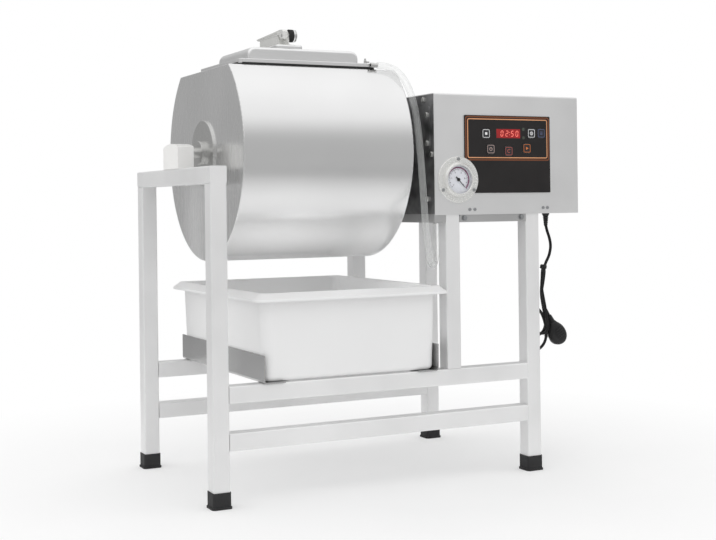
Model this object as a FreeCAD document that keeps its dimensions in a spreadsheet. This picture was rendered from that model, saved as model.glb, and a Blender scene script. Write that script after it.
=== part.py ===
import FreeCAD, Part
import math
import os
import Sketcher

Vector = FreeCAD.Vector
Rotation = FreeCAD.Rotation

# Driving sizes in millimetres and degrees. X runs along the drum axle to the
# control box, Y runs from the operator's side to the rear, Z is up. Lengths
# named _x are measured from the left legs' outer face.
SIZES = {
    # Square tube frame
    "tube_width": 30.0,
    "tube_wall": 1.5,
    "tube_corner": 3.0,
    "end_cap": 2.0,
    "frame_length": 664.0,
    "frame_depth": 418.0,
    "upper_rail_top": 206.0,
    "lower_rail_top": 126.0,
    "post_inset": 24.0,
    # Rubber boots on the legs
    "foot_height": 28.0,
    "foot_sole": 6.0,
    "foot_wall": 1.6,
    "foot_flare": 3.3,
    "foot_lip": 4.0,
    # Bin guides on the upper rails
    "guide_play": 2.2,
    "guide_height": 49.0,
    "guide_sheet": 2.0,
    "guide_bend": 5.0,
    "guide_foot": 40.0,
    "guide_overhang": 6.0,
    # Loose bin
    "bin_length": 336.0,
    "bin_depth": 416.0,
    "bin_flare": 5.5,
    "bin_height": 153.0,
    "bin_wall": 2.5,
    "bin_corner": 16.0,
    "bin_floor_radius": 9.0,
    "bin_step_gap": 1.5,
    "bin_rim_ledge": 4.0,
    "bin_rim_slope": 14.0,
    "bin_rim_fall": 10.0,
    "bin_rim_band": 4.0,
    "bin_rim_corner": 24.0,
    "bin_rim_sheet": 3.0,
    "bin_post_gap": 3.0,
    # Drum
    "drum_x": 65.0,
    "drum_length": 333.0,
    "drum_radius": 200.0,
    "drum_sheet": 2.0,
    "drum_end_sheet": 3.0,
    "drum_gap": 49.0,
    "flat_width": 260.0,
    "baffle_height": 36.0,
    "baffle_width": 40.0,
    "baffle_sheet": 2.0,
    "baffle_end_gap": 0.25,
    # Axle stubs and bearings
    "hub_radius": 60.0,
    "hub_sheet": 4.0,
    "boss_radius": 22.0,
    "boss_length": 8.0,
    "stub_radius": 10.0,
    "stub_end_x": 4.0,
    "shaft_radius": 12.5,
    "shaft_fit": 0.05,
    "block_width": 84.0,
    "block_crown": 6.0,
    "block_height": 40.0,
    "block_rise": 30.0,
    # Hatch opening and lid
    "hatch_inset": 21.0,
    "hatch_length": 272.0,
    "hatch_front_gap": 1.0,
    "hatch_depth": 207.0,
    "hatch_margin": 27.0,
    "hatch_corner": 14.0,
    "hatch_lip": 14.0,
    "hatch_lip_sheet": 2.5,
    "gasket_height": 3.0,
    "gasket_width": 16.0,
    "lid_skirt": 8.0,
    "lid_sheet": 2.0,
    "lid_corner": 9.0,
    "dome_margin": 28.0,
    "dome_right_margin": 22.0,
    "dome_height": 25.0,
    "dome_end_round": 15.0,
    "dome_edge_round": 5.0,
    "pad_length": 53.0,
    "pad_height": 8.0,
    "pad_offset": 60.0,
    "pad_front_gap": 8.0,
    "pad_rear_gap": 11.0,
    # Lid hinge
    "pin_radius": 2.5,
    "knuckle_radius": 5.0,
    "knuckle_length": 18.0,
    "knuckle_gap": 0.3,
    "knuckle_fit": 0.05,
    "hinge_set_back": 7.0,
    "hinge_spacing": 150.0,
    # Lid clamp
    "clamp_inset": 17.0,
    "clamp_width": 12.0,
    "clamp_pin_rise": 18.0,
    "clamp_throat": 14.0,
    "clamp_rear_gap": 9.0,
    "clamp_body_height": 20.0,
    "clamp_overhang": 12.0,
    "clamp_lever_sheet": 3.0,
    "clamp_pin_radius": 3.0,
    "roller_radius": 11.5,
    "roller_width": 12.0,
    "clamp_gap": 0.3,
    # Hose nozzle and air valve on the lid
    "nozzle_reach": 1.7,
    "nozzle_length": 13.7,
    "nozzle_stand_off": 2.0,
    "nozzle_rise": 4.8,
    "nozzle_radius": 4.5,
    "nozzle_bore": 2.5,
    "valve_inset": 14.0,
    "valve_set_back": 16.0,
    "valve_radius": 2.6,
    "valve_height": 11.0,
    # Control box
    "box_gap": 36.0,
    "box_length": 322.0,
    "box_drop": 120.0,
    "box_height": 224.0,
    "box_sheet": 1.5,
    "box_lap": 2.0,
    "box_bend": 3.0,
    "plate_sheet": 4.0,
    "tray_sheet": 2.0,
    "tray_skirt": 14.0,
    # Key panel on the control box
    "panel_inset": 64.0,
    "panel_length": 191.0,
    "panel_rise": 40.0,
    "panel_height": 145.0,
    "panel_sheet": 1.6,
    "key_size": 17.5,
    "key_corner": 2.5,
    "key_gap": 0.4,
    "key_cap": 1.0,
    "key_proud": 0.5,
    "key_stem_radius": 3.0,
    "display_length": 53.0,
    "display_height": 17.0,
    "display_inset": 70.0,
    "display_rise": 103.0,
    "lamp_radius": 3.0,
    "lamp_inset": 130.5,
    "lamp_low_rise": 104.0,
    "lamp_high_rise": 120.0,
    "board_gap": 12.0,
    "board_sheet": 1.6,
    "board_inset": 40.0,
    "board_rise": 62.0,
    "board_margin": 7.0,
    # Vacuum gauge
    "gauge_inset": 50.0,
    "gauge_rise": 65.0,
    "gauge_flange_radius": 43.0,
    "gauge_flange_sheet": 2.0,
    "gauge_case_radius": 30.5,
    "gauge_case_depth": 26.0,
    "gauge_bezel_rise": 9.0,
    "gauge_window_radius": 26.0,
    "gauge_wall": 1.2,
    "gauge_glass_sheet": 2.0,
    "gauge_dial_depth": 5.0,
    "gauge_hub_radius": 3.2,
    "needle_length": 19.0,
    "needle_sheet": 0.8,
    "needle_turn": -45.0,
    # Drive
    "bearing_radius": 34.0,
    "bearing_width": 12.0,
    "gear_case_length": 78.0,
    "gear_case_width": 100.0,
    "gear_case_height": 116.0,
    "gear_case_gap": 3.0,
    "worm_offset": 40.0,
    "worm_housing_radius": 26.0,
    "motor_radius": 44.0,
    "motor_rear_gap": 23.0,
    "motor_wall": 6.0,
    "motor_cap": 8.0,
    "rotor_radius": 30.0,
    "rotor_shaft_radius": 7.0,
    "fin_height": 4.0,
    "fin_count": 12.0,
    # Vacuum pump
    "pump_inset": 166.0,
    "pump_set_back": 96.0,
    "pump_length": 118.0,
    "pump_width": 78.0,
    "pump_height": 84.0,
    # Hose and mains lead
    "hose_radius": 6.1,
    "fitting_x": 467.5,
    "fitting_y": 52.0,
    "fitting_drop": 16.0,
    "gland_x": 711.0,
    "gland_y": 45.0,
    "gland_length": 22.0,
    "lead_radius": 3.5,
    "plug_radius": 19.0,
    "plug_thickness": 24.0,
    "plug_x": 735.0,
    "plug_z": 250.0,
    "plug_turn": 27.0,
    "plug_reach": 43.0,
    # Screws
    "screw_head_radius": 3.2,
    "screw_head_height": 1.8,
    "bolt_head_radius": 5.0,
    "bolt_head_height": 4.0,
}

# Middle of each key, from the panel's lower left corner.
KEY_PLACES = {
    "key_stop": (47.0, 111.0),
    "key_vacuum": (148.5, 112.5),
    "key_mode": (171.0, 113.0),
    "key_timer": (57.0, 82.0),
    "key_reverse": (97.0, 78.5),
    "key_start": (138.0, 84.0),
}

# Cover screws, from the lower left corner of the control box.
COVER_SCREW_PLACES = [(74.5, 9.5), (85.5, 9.5), (238.5, 11.0), (248.5, 11.0)]

# Bolts in the drive plate: distance in from the front or rear, drop from the box's top.
FRONT_BOLT_PLACES = [(36.0, 10.0), (24.0, 39.0), (24.0, 91.0), (7.0, 112.0), (24.0, 194.0)]
REAR_BOLT_PLACES = [(24.0, 16.0), (24.0, 194.0)]

# Route of the vacuum hose, from the lid nozzle to the fitting under the tray.
HOSE_ROUTE = [
    (360.0, 78.0, 769.8), (373.0, 77.5, 769.8), (385.0, 73.5, 766.8), (395.0, 64.0, 758.5),
    (402.0, 51.0, 743.5), (407.8, 38.5, 719.5), (411.3, 27.5, 688.0), (412.3, 16.5, 639.0),
    (411.7, 7.0, 581.0), (411.0, -1.0, 521.0), (411.5, -5.5, 470.0), (418.5, -5.0, 422.3),
    (432.4, 11.2, 397.5), (452.6, 34.8, 397.5), (466.5, 51.0, 422.3), (467.5, 52.0, 453.0),
    (467.5, 52.0, 474.0),
]

# Route of the mains lead, from its sleeve to the top of the tied hank.
LEAD_ROUTE = [
    (711.0, 45.0, 468.0), (711.0, 45.0, 457.0), (716.5, 45.2, 442.0), (720.5, 45.5, 425.0),
    (717.0, 45.8, 406.5), (708.5, 46.0, 394.0), (705.0, 46.0, 384.0),
]

# Route of the lead's far end, from the hank to the plug.
TAIL_ROUTE = [
    (708.8, 45.0, 306.5), (710.1, 44.7, 301.0), (712.4, 44.2, 294.8), (715.35, 44.0, 288.6),
]

# Sections of the tied hank from top to bottom: X, Y, Z, half length, half depth.
HANK_SECTIONS = [
    (705.0, 46.0, 384.0, 6.0, 6.0), (702.5, 47.0, 372.0, 8.0, 11.0), (701.0, 49.0, 345.0, 8.0, 15.0),
    (700.5, 49.0, 312.0, 8.5, 16.0), (697.0, 49.0, 288.0, 12.0, 16.0), (687.0, 49.0, 262.0, 19.0, 16.0),
    (676.0, 49.0, 238.0, 18.0, 16.0), (668.0, 49.0, 222.0, 10.0, 11.0),
]

document = FreeCAD.newDocument("MeatMixer")
sheet = document.addObject("Spreadsheet::Sheet", "Sizes")
for row, (alias, amount) in enumerate(SIZES.items(), start=1):
    cell = "A%d" % row
    sheet.set(cell, str(amount))
    sheet.setAlias(cell, alias)
document.recompute()


class Dim:
    """A size with its present value and the formula that binds it to the sheet."""

    def __init__(self, value, text):
        self.value = float(value)
        self.text = text

    def join(self, other, sign, result):
        return Dim(result, "(%s %s %s)" % (self.text, sign, other.text))

    def __add__(self, other):
        other = as_dim(other)
        return self.join(other, "+", self.value + other.value)

    def __sub__(self, other):
        other = as_dim(other)
        return self.join(other, "-", self.value - other.value)

    def __mul__(self, other):
        other = as_dim(other)
        return self.join(other, "*", self.value * other.value)

    def __truediv__(self, other):
        other = as_dim(other)
        return self.join(other, "/", self.value / other.value)

    def __radd__(self, other):
        return as_dim(other) + self

    def __rsub__(self, other):
        return as_dim(other) - self

    def __rmul__(self, other):
        return as_dim(other) * self

    def __neg__(self):
        return as_dim(0) - self


def as_dim(amount):
    if isinstance(amount, Dim):
        return amount
    return Dim(amount, "(%.6f)" % amount)


def size(alias):
    return Dim(SIZES[alias], "Sizes." + alias)


def root(dim):
    return Dim(math.sqrt(dim.value), "sqrt(%s)" % dim.text)


def bind(thing, prop, dim):
    dim = as_dim(dim)
    thing.setExpression(prop, dim.text)


# Heights that follow from the driving sizes: the bin stands on the upper rails, the
# drum turns over it, and the crossbar and the control box carry the drum's axle.
W = size("tube_width")
LENGTH = size("frame_length")
DEPTH = size("frame_depth")
RIM_Z = size("upper_rail_top") + size("guide_sheet") + size("bin_height")
AXLE_Z = RIM_Z + size("drum_gap") + size("drum_radius")
AXLE_Y = DEPTH / 2
CROSSBAR_Z = AXLE_Z - size("block_rise")
BOX_Z = AXLE_Z - size("box_drop")
BOX_TOP = BOX_Z + size("box_height")

# Places along the axle
DRUM_X = size("drum_x")
DRUM_END = DRUM_X + size("drum_length")
BOX_X = DRUM_END + size("box_gap")
BOX_END = BOX_X + size("box_length")
BOX_FRONT = -size("box_lap")
POST_X = BOX_X + size("post_inset")
BIN_RIM_TOP = size("bin_flare") + size("bin_rim_ledge")
BIN_RIM_OUT = BIN_RIM_TOP + size("bin_rim_slope")
BIN_X = POST_X - size("bin_post_gap") - BIN_RIM_OUT - size("bin_length") / 2

# The drum's flat and the lid on it
HALF_FLAT = size("flat_width") / 2
FLAT = root(size("drum_radius") * size("drum_radius") - HALF_FLAT * HALF_FLAT)
FLAT_Z = AXLE_Z + FLAT
LID_X = DRUM_X + size("hatch_inset")
LID_END = LID_X + size("hatch_length")
LID_Y = AXLE_Y - HALF_FLAT + size("hatch_front_gap")
LID_BACK = LID_Y + size("hatch_depth")
LID_Z = FLAT_Z + size("gasket_height")
LID_TOP = LID_Z + size("lid_skirt")
DOME_TOP = LID_TOP + size("dome_height")
HINGE_Y = LID_BACK + size("hinge_set_back")
HINGE_Z = FLAT_Z + size("knuckle_radius") + size("gasket_height")
NOZZLE_END = LID_END + size("nozzle_reach")
NOZZLE_Y = LID_Y - size("nozzle_stand_off")
NOZZLE_Z = LID_Z + size("nozzle_rise")

# The pressed pad on the dome and the clamp that stands on it
PAD_X = LID_X + size("dome_margin") + size("pad_offset")
PAD_Y = LID_Y + size("dome_margin") + size("pad_front_gap")
PAD_DEPTH = (size("hatch_depth") - 2 * size("dome_margin") - size("pad_front_gap")
             - size("pad_rear_gap"))
PAD_TOP = DOME_TOP + size("pad_height")
CLAMP_X = PAD_X + size("clamp_inset")
CLAMP_Y = PAD_Y + size("clamp_inset")
CLAMP_Z = PAD_TOP + size("clamp_pin_rise")
CLAMP_RUN = PAD_DEPTH - size("clamp_inset") - size("clamp_throat") - size("clamp_rear_gap")

# What hangs on the control box
PANEL_X = BOX_X + size("panel_inset")
PANEL_Z = BOX_Z + size("panel_rise")
DISPLAY_X = PANEL_X + size("display_inset")
DISPLAY_Z = PANEL_Z + size("display_rise")
GAUGE_X = BOX_X + size("gauge_inset")
GAUGE_Z = BOX_Z + size("gauge_rise")
PLATE_X = BOX_X + 1
PLATE_IN = PLATE_X + size("plate_sheet")
GEAR_X = PLATE_IN + size("bearing_width") + size("gear_case_gap")
GEAR_END = GEAR_X + size("gear_case_length")
WORM_X = GEAR_X + size("gear_case_length") / 2
WORM_Z = AXLE_Z - size("worm_offset")
MOTOR_Y = AXLE_Y + size("gear_case_width") / 2
MOTOR_LENGTH = DEPTH - size("motor_rear_gap") - MOTOR_Y

# The origin stands under the middle of the object's box.
SHIFT_X = -(BOX_END - size("foot_flare")) / 2
SHIFT_Y = -DEPTH / 2

TO_X = Rotation(Vector(0, 1, 0), 90)
TO_Y = Rotation(Vector(1, 0, 0), -90)
TO_FRONT = Rotation(Vector(1, 0, 0), 90)
TO_LEFT = Rotation(Vector(0, 1, 0), -90)
DOWN = Rotation(Vector(1, 0, 0), 180)
UPRIGHT = Rotation()
ALONG_X = Rotation(Vector(1, 1, 1), 120)
ALONG_Y = Rotation(Vector(1, 1, 1), 240)

NODES = []


def place(thing, x, y, z, turn=UPRIGHT):
    """Put a sub-part at a point given from the left front leg's corner."""
    thing.Placement = FreeCAD.Placement(Vector(), turn)
    bind(thing, "Placement.Base.x", as_dim(x) + SHIFT_X)
    bind(thing, "Placement.Base.y", as_dim(y) + SHIFT_Y)
    bind(thing, "Placement.Base.z", as_dim(z))
    return thing


def node(thing, label):
    thing.Label = label
    NODES.append(thing)
    return thing


# Sketching

def new_body(name):
    return document.addObject("PartDesign::Body", "Body_" + name)


def new_sketch(body, plane="XY_Plane", offset=0):
    sketch = body.newObject("Sketcher::SketchObject", "Sketch")
    support = [feature for feature in body.Origin.OriginFeatures if feature.Role == plane][0]
    sketch.AttachmentSupport = [(support, "")]
    sketch.MapMode = "FlatFace"
    bind(sketch, "AttachmentOffset.Base.z", offset)
    return sketch


def fix_point(sketch, geometry, position, x, y):
    for kind, dim in (("DistanceX", as_dim(x)), ("DistanceY", as_dim(y))):
        rule = Sketcher.Constraint(kind, -1, 1, geometry, position, dim.value)
        index = sketch.addConstraint(rule)
        sketch.setExpression("Constraints[%d]" % index, dim.text)


def fix_radius(sketch, geometry, radius):
    index = sketch.addConstraint(Sketcher.Constraint("Radius", geometry, radius.value))
    sketch.setExpression("Constraints[%d]" % index, radius.text)


def polygon(sketch, corners):
    """A closed outline of straight lines through corners bound to the sheet."""
    corners = [(as_dim(x), as_dim(y)) for x, y in corners]
    points = [Vector(x.value, y.value, 0) for x, y in corners]
    lines = [sketch.addGeometry(Part.LineSegment(a, b), False)
             for a, b in zip(points, points[1:] + points[:1])]
    for line, following in zip(lines, lines[1:] + lines[:1]):
        sketch.addConstraint(Sketcher.Constraint("Coincident", line, 2, following, 1))
    for line, (x, y) in zip(lines, corners):
        fix_point(sketch, line, 1, x, y)
    return sketch


def rectangle(sketch, x0, y0, x1, y1):
    return polygon(sketch, [(x0, y0), (x1, y0), (x1, y1), (x0, y1)])


def circle(sketch, x, y, radius):
    x, y, radius = as_dim(x), as_dim(y), as_dim(radius)
    round_edge = Part.Circle(Vector(x.value, y.value, 0), Vector(0, 0, 1), radius.value)
    index = sketch.addGeometry(round_edge, False)
    fix_point(sketch, index, 3, x, y)
    fix_radius(sketch, index, radius)
    return sketch


def rounded_rectangle(sketch, x0, y0, x1, y1, radius):
    """Four lines and four tangent corner arcs."""
    x0, y0, x1, y1, radius = [as_dim(item) for item in (x0, y0, x1, y1, radius)]
    middles = [(x0 + radius, y0 + radius), (x1 - radius, y0 + radius),
               (x1 - radius, y1 - radius), (x0 + radius, y1 - radius)]
    arcs = []
    for turn, (x, y) in enumerate(middles):
        start = math.pi + turn * math.pi / 2
        edge = Part.Circle(Vector(x.value, y.value, 0), Vector(0, 0, 1), radius.value)
        arcs.append(sketch.addGeometry(Part.ArcOfCircle(edge, start, start + math.pi / 2), False))
    ends = [(arc, sketch.getPoint(arc, 1), sketch.getPoint(arc, 2)) for arc in arcs]
    for (arc, _, leave), (following, reach, _) in zip(ends, ends[1:] + ends[:1]):
        line = sketch.addGeometry(Part.LineSegment(leave, reach), False)
        sketch.addConstraint(Sketcher.Constraint("Tangent", arc, 2, line, 1))
        sketch.addConstraint(Sketcher.Constraint("Tangent", line, 2, following, 1))
    for arc, (x, y) in zip(arcs, middles):
        fix_point(sketch, arc, 3, x, y)
        fix_radius(sketch, arc, radius)
    return sketch


def flat_topped_circle(sketch, x, y, radius, flat):
    """A circle cut by a level chord at the height flat above its middle."""
    x, y, radius, flat = [as_dim(item) for item in (x, y, radius, flat)]
    rise = math.asin(flat.value / radius.value)
    edge = Part.Circle(Vector(x.value, y.value, 0), Vector(0, 0, 1), radius.value)
    arc = sketch.addGeometry(Part.ArcOfCircle(edge, math.pi - rise, 2 * math.pi + rise), False)
    line = sketch.addGeometry(
        Part.LineSegment(sketch.getPoint(arc, 2), sketch.getPoint(arc, 1)), False)
    sketch.addConstraint(Sketcher.Constraint("Coincident", arc, 2, line, 1))
    sketch.addConstraint(Sketcher.Constraint("Coincident", line, 2, arc, 1))
    sketch.addConstraint(Sketcher.Constraint("Horizontal", line))
    fix_point(sketch, arc, 3, x, y)
    fix_radius(sketch, arc, radius)
    level = y + flat
    index = sketch.addConstraint(Sketcher.Constraint("DistanceY", -1, 1, line, 1, level.value))
    sketch.setExpression("Constraints[%d]" % index, level.text)
    return sketch


# Features

def pad(body, sketch, length, reversed_way=False):
    feature = body.newObject("PartDesign::Pad", "Pad")
    feature.Profile = sketch
    feature.Reversed = reversed_way
    bind(feature, "Length", length)
    return feature


def pocket(body, sketch, length, reversed_way=False):
    """A cut that has to take material away."""
    before = body.Shape.Volume
    feature = body.newObject("PartDesign::Pocket", "Pocket")
    feature.Profile = sketch
    feature.Reversed = reversed_way
    bind(feature, "Length", length)
    document.recompute()
    if body.Shape.Volume > before - 1e-3:
        raise ValueError("a pocket in %s cuts nothing" % body.Name)
    return feature


def revolve(body, sketch, axis="V_Axis"):
    feature = body.newObject("PartDesign::Revolution", "Revolution")
    feature.Profile = sketch
    feature.ReferenceAxis = (sketch, [axis])
    feature.Angle = 360
    return feature


def edges_where(shape, test):
    return ["Edge%d" % (i + 1) for i, edge in enumerate(shape.Edges) if test(edge)]


def fillet(body, radius, test):
    document.recompute()
    base = body.Tip
    feature = body.newObject("PartDesign::Fillet", "Fillet")
    feature.Base = (base, edges_where(base.Shape, test))
    bind(feature, "Radius", radius)
    return feature


def along(edge, axis):
    """True for a straight edge that runs along one axis."""
    if edge.Curve.TypeId != "Part::GeomLine":
        return False
    run = edge.Vertexes[-1].Point - edge.Vertexes[0].Point
    return abs(abs(run.normalize().dot(axis)) - 1) < 1e-6


def at_height(edge, z):
    return all(abs(vertex.Z - z) < 1e-4 for vertex in edge.Vertexes)


AXIS_X, AXIS_Y, AXIS_Z = Vector(1, 0, 0), Vector(0, 1, 0), Vector(0, 0, 1)


def turned(label, profile, x, y, z, turn=UPRIGHT):
    """A lathe-turned piece: (radius, height) corners spun about the local Z axis."""
    body = new_body(label)
    revolve(body, polygon(new_sketch(body, "XZ_Plane"), profile))
    return place(node(body, label), x, y, z, turn)


def group(label, members):
    """One node of several like, separate solids."""
    joined = document.addObject("Part::Compound", "Group_" + label)
    joined.Links = members
    return node(joined, label)


# Frame

def tube(name, length, x, y, z, turn=UPRIGHT):
    """Square tube with rounded corners, running along the local Z axis."""
    body = new_body(name)
    wall = size("tube_wall")
    pad(body, rounded_rectangle(new_sketch(body), 0, 0, W, W, size("tube_corner")), length)
    document.recompute()
    inside = rounded_rectangle(new_sketch(body), wall, wall, W - wall, W - wall,
                               size("tube_corner") - wall)
    pocket(body, inside, length, reversed_way=True)
    return place(body, x, y, z, turn)


def make_frame():
    """Welded square tube: legs, posts and rails in front and rear pairs."""
    sole = size("foot_sole")
    right = LENGTH - W
    rear = DEPTH - W
    upper = size("upper_rail_top")
    left_leg = CROSSBAR_Z - W - sole
    right_leg = BOX_Z - sole
    run = LENGTH - 2 * W
    pairs = [("legs_left", left_leg, 0, sole, UPRIGHT),
             ("legs_right", right_leg, right, sole, UPRIGHT),
             ("box_posts", BOX_Z - upper, POST_X, upper, UPRIGHT),
             ("upper_rails", run, W, upper - W, ALONG_X),
             ("lower_rails", run, W, size("lower_rail_top") - W, ALONG_X)]
    for name, length, x, z, turn in pairs:
        group(name, [tube(name, length, x, y, z, turn) for y in (as_dim(0), rear)])
    crossbar = tube("crossbar", DEPTH, 0, 0, CROSSBAR_Z - W, ALONG_Y)
    cap, inset = size("end_cap"), size("tube_corner")
    for start in (as_dim(0), DEPTH - cap):
        plate = rounded_rectangle(new_sketch(crossbar, offset=start), 0, 0, W, W, inset)
        pad(crossbar, plate, cap)
    node(crossbar, "crossbar_left")


def make_feet():
    """Moulded boots that flare to a lip at the floor."""
    boots = []
    wall = size("foot_wall")
    flare = size("foot_flare")
    lip = size("foot_lip")
    for x in (as_dim(0), LENGTH - W):
        for y in (as_dim(0), DEPTH - W):
            body = new_body("boot")
            pad(body, rounded_rectangle(new_sketch(body), -wall, -wall, W + wall, W + wall,
                                        size("tube_corner") + wall), size("foot_height"))
            pad(body, rounded_rectangle(new_sketch(body), -flare, -flare, W + flare, W + flare,
                                        size("tube_corner") + flare), lip)
            fillet(body, (flare - wall) * 0.7, lambda edge: at_height(edge, lip.value)
                   and max(abs(edge.BoundBox.Center.x - W.value / 2),
                           abs(edge.BoundBox.Center.y - W.value / 2)) > W.value / 2 + wall.value + 0.1)
            document.recompute()
            socket = rounded_rectangle(new_sketch(body, offset=size("foot_sole")), 0, 0, W, W,
                                       size("tube_corner"))
            pocket(body, socket, size("foot_height"), reversed_way=True)
            boots.append(place(body, x, y, 0))
    group("rubber_feet", boots)


def make_bin_guides():
    """Steel angles that lie across the upper rails beside the bin."""
    sheet_ = size("guide_sheet")
    run = DEPTH + 2 * size("guide_overhang")
    bend = size("guide_bend")
    reach = size("bin_length") / 2 + size("guide_play") + sheet_
    for label, x, way in (("bin_guide_left", BIN_X - reach, 1),
                          ("bin_guide_right", BIN_X + reach, -1)):
        body = new_body(label)
        foot = size("guide_foot") * way
        web = sheet_ * way
        high = size("guide_height")
        corners = [(0, 0), (foot, 0), (foot, sheet_), (web, sheet_), (web, high), (0, high)]
        pad(body, polygon(new_sketch(body, "XZ_Plane"), corners), run, reversed_way=True)
        for radius, spot in ((bend - sheet_, sheet_.value), (bend, 0)):
            fillet(body, radius, lambda edge: along(edge, AXIS_Y)
                   and abs(abs(edge.Vertexes[0].X) - spot) < 1e-6
                   and abs(edge.Vertexes[0].Z - spot) < 1e-6)
        place(node(body, label), x, -size("guide_overhang"), size("upper_rail_top"))


# Bin

def make_bin():
    """Moulded tote: drafted walls, a floor let down between the guides and a sloping lip."""
    length, depth, flare = size("bin_length"), size("bin_depth"), size("bin_flare")
    high, wall, corner = size("bin_height"), size("bin_wall"), size("bin_corner")
    floor_radius = size("bin_floor_radius")
    slope, fall, band = size("bin_rim_slope"), size("bin_rim_fall"), size("bin_rim_band")

    def outline(owner, offset, reach, radius):
        return rounded_rectangle(new_sketch(owner, offset=offset), -length / 2 - reach,
                                 -depth / 2 - reach, length / 2 + reach, depth / 2 + reach,
                                 radius)

    def draft(walls, out, rise):
        angle = math.degrees(math.atan(out.value / rise.value))
        bind(walls, "TaperAngle", Dim(angle, "atan(%s)" % (out / rise).text))

    def tub(owner, inset):
        draft(pad(owner, outline(owner, inset, -inset, corner - inset), high), flare, high)
        fillet(owner, floor_radius - inset, lambda edge: at_height(edge, inset.value))

    def lip(owner, drop, inset, skirt):
        level = high - fall - drop
        reach, radius = BIN_RIM_OUT - inset, size("bin_rim_corner") - inset
        pad(owner, outline(owner, level - skirt, reach, radius), skirt)
        draft(pad(owner, outline(owner, level, reach, radius), fall), -slope, fall)

    walls = new_body("bin_walls")
    tub(walls, as_dim(0))
    step = size("guide_sheet")
    half = length / 2 - size("guide_foot") - size("bin_step_gap")
    reach = depth / 2 - floor_radius
    pad(walls, rounded_rectangle(new_sketch(walls, offset=-step), -half, -reach, half, reach,
                                 floor_radius), step)
    outside = new_body("bin_lip")
    lip(outside, as_dim(0), as_dim(0), band)
    fillet(outside, 2, lambda edge: at_height(edge, high.value)
           or at_height(edge, (high - fall).value))
    under = new_body("bin_lip_under")
    lip(under, size("bin_rim_sheet"), wall, band + 1)
    inside = new_body("bin_inside")
    tub(inside, wall)

    def combine(kind, base, tool):
        result = document.addObject("Part::" + kind, "Tote" + kind)
        result.Base, result.Tool = base, tool
        return result

    edge = combine("Cut", outside, under)
    tote = combine("Cut", combine("Fuse", walls, edge), inside)
    place(node(tote, "bin"), BIN_X, AXLE_Y, size("upper_rail_top") + step)


# Drum

def make_drum():
    radius, flat, sheet_ = size("drum_radius"), FLAT, size("drum_sheet")
    end = size("drum_end_sheet")
    margin = size("hatch_margin")
    shell = new_body("drum_shell")
    run = size("drum_length") - 2 * end
    pad(shell, flat_topped_circle(new_sketch(shell, "YZ_Plane"), 0, 0, radius, flat), run)
    document.recompute()
    inside = flat_topped_circle(new_sketch(shell, "YZ_Plane"), 0, 0, radius - sheet_,
                                flat - sheet_)
    pocket(shell, inside, run, reversed_way=True)
    opening = new_sketch(shell, offset=flat - margin)
    x0 = LID_X + margin - DRUM_X - end
    y0 = LID_Y + margin - AXLE_Y
    x1 = LID_END - margin - DRUM_X - end
    y1 = LID_BACK - margin - AXLE_Y
    rounded_rectangle(opening, x0, y0, x1, y1, size("hatch_corner"))
    pocket(shell, opening, margin + 1, reversed_way=True)
    place(node(shell, "drum_shell"), DRUM_X + end, AXLE_Y, AXLE_Z)

    for label, x, turn in (("drum_end_left", DRUM_X, UPRIGHT),
                           ("drum_end_right", DRUM_END, Rotation(AXIS_Z, 180))):
        body = new_body(label)
        pad(body, flat_topped_circle(new_sketch(body, "YZ_Plane"), 0, 0, radius, flat), end)
        fillet(body, sheet_, lambda edge: edge.BoundBox.XMax < 1e-4)
        place(node(body, label), x, AXLE_Y, AXLE_Z, turn)

    lip = size("hatch_lip_sheet")
    neck = new_body("hatch_frame")
    high = size("hatch_lip")
    ring = new_sketch(neck)
    corner = size("hatch_corner")
    rounded_rectangle(ring, x0, y0, x1, y1, corner)
    rounded_rectangle(ring, x0 + lip, y0 + lip, x1 - lip, y1 - lip, corner - lip)
    pad(neck, ring, high)
    place(node(neck, "hatch_frame"), DRUM_X + end, AXLE_Y, FLAT_Z - high)

    make_baffles(run)


def make_baffles(run):
    """Folded ridges along the drum wall that lift and turn the load."""
    ridges = []
    high, wide, sheet_ = size("baffle_height"), size("baffle_width"), size("baffle_sheet")
    gap = size("baffle_end_gap")
    inner = size("drum_radius") - size("drum_sheet")
    sag = inner - root(inner * inner - wide * wide / 4)
    for angle in (200.0, 270.0, 340.0):
        body = new_body("baffle")
        seat = sag - inner
        corners = [(-wide / 2, seat), (-wide / 8, seat + high), (wide / 8, seat + high),
                   (wide / 2, seat), (wide / 2 - sheet_ * 1.3, seat),
                   (wide / 8 - sheet_, seat + high - sheet_),
                   (-wide / 8 + sheet_, seat + high - sheet_), (-wide / 2 + sheet_ * 1.3, seat)]
        pad(body, polygon(new_sketch(body, "YZ_Plane", gap), corners), run - 2 * gap)
        turn = Rotation(Vector(1, 0, 0), angle - 270.0)
        ridges.append(place(body, DRUM_X + size("drum_end_sheet"), AXLE_Y, AXLE_Z, turn))
    group("drum_baffles", ridges)


def make_axle():
    """Turned stubs with round hub plates, one for the block and one for the drive."""
    hub, sheet_ = size("hub_radius"), size("hub_sheet")
    boss, step = size("boss_radius"), size("boss_length")
    stub = size("stub_radius")
    reach = DRUM_X - size("stub_end_x")
    turned("stub_shaft", [(0, 0), (hub, 0), (hub, sheet_ - 1), (hub - 1, sheet_), (boss, sheet_),
                          (boss, sheet_ + step - 1), (boss - 1, sheet_ + step),
                          (stub, sheet_ + step), (stub, reach - 1), (stub - 1, reach), (0, reach)],
           DRUM_X, AXLE_Y, AXLE_Z, TO_LEFT)
    shaft = size("shaft_radius")
    reach = GEAR_END - DRUM_END
    turned("drive_shaft", [(0, 0), (hub, 0), (hub, sheet_ - 1), (hub - 1, sheet_), (boss, sheet_),
                           (boss, sheet_ + step - 1), (boss - 1, sheet_ + step),
                           (shaft, sheet_ + step), (shaft, reach - 1), (shaft - 1, reach),
                           (0, reach)],
           DRUM_END, AXLE_Y, AXLE_Z, TO_X)


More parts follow.
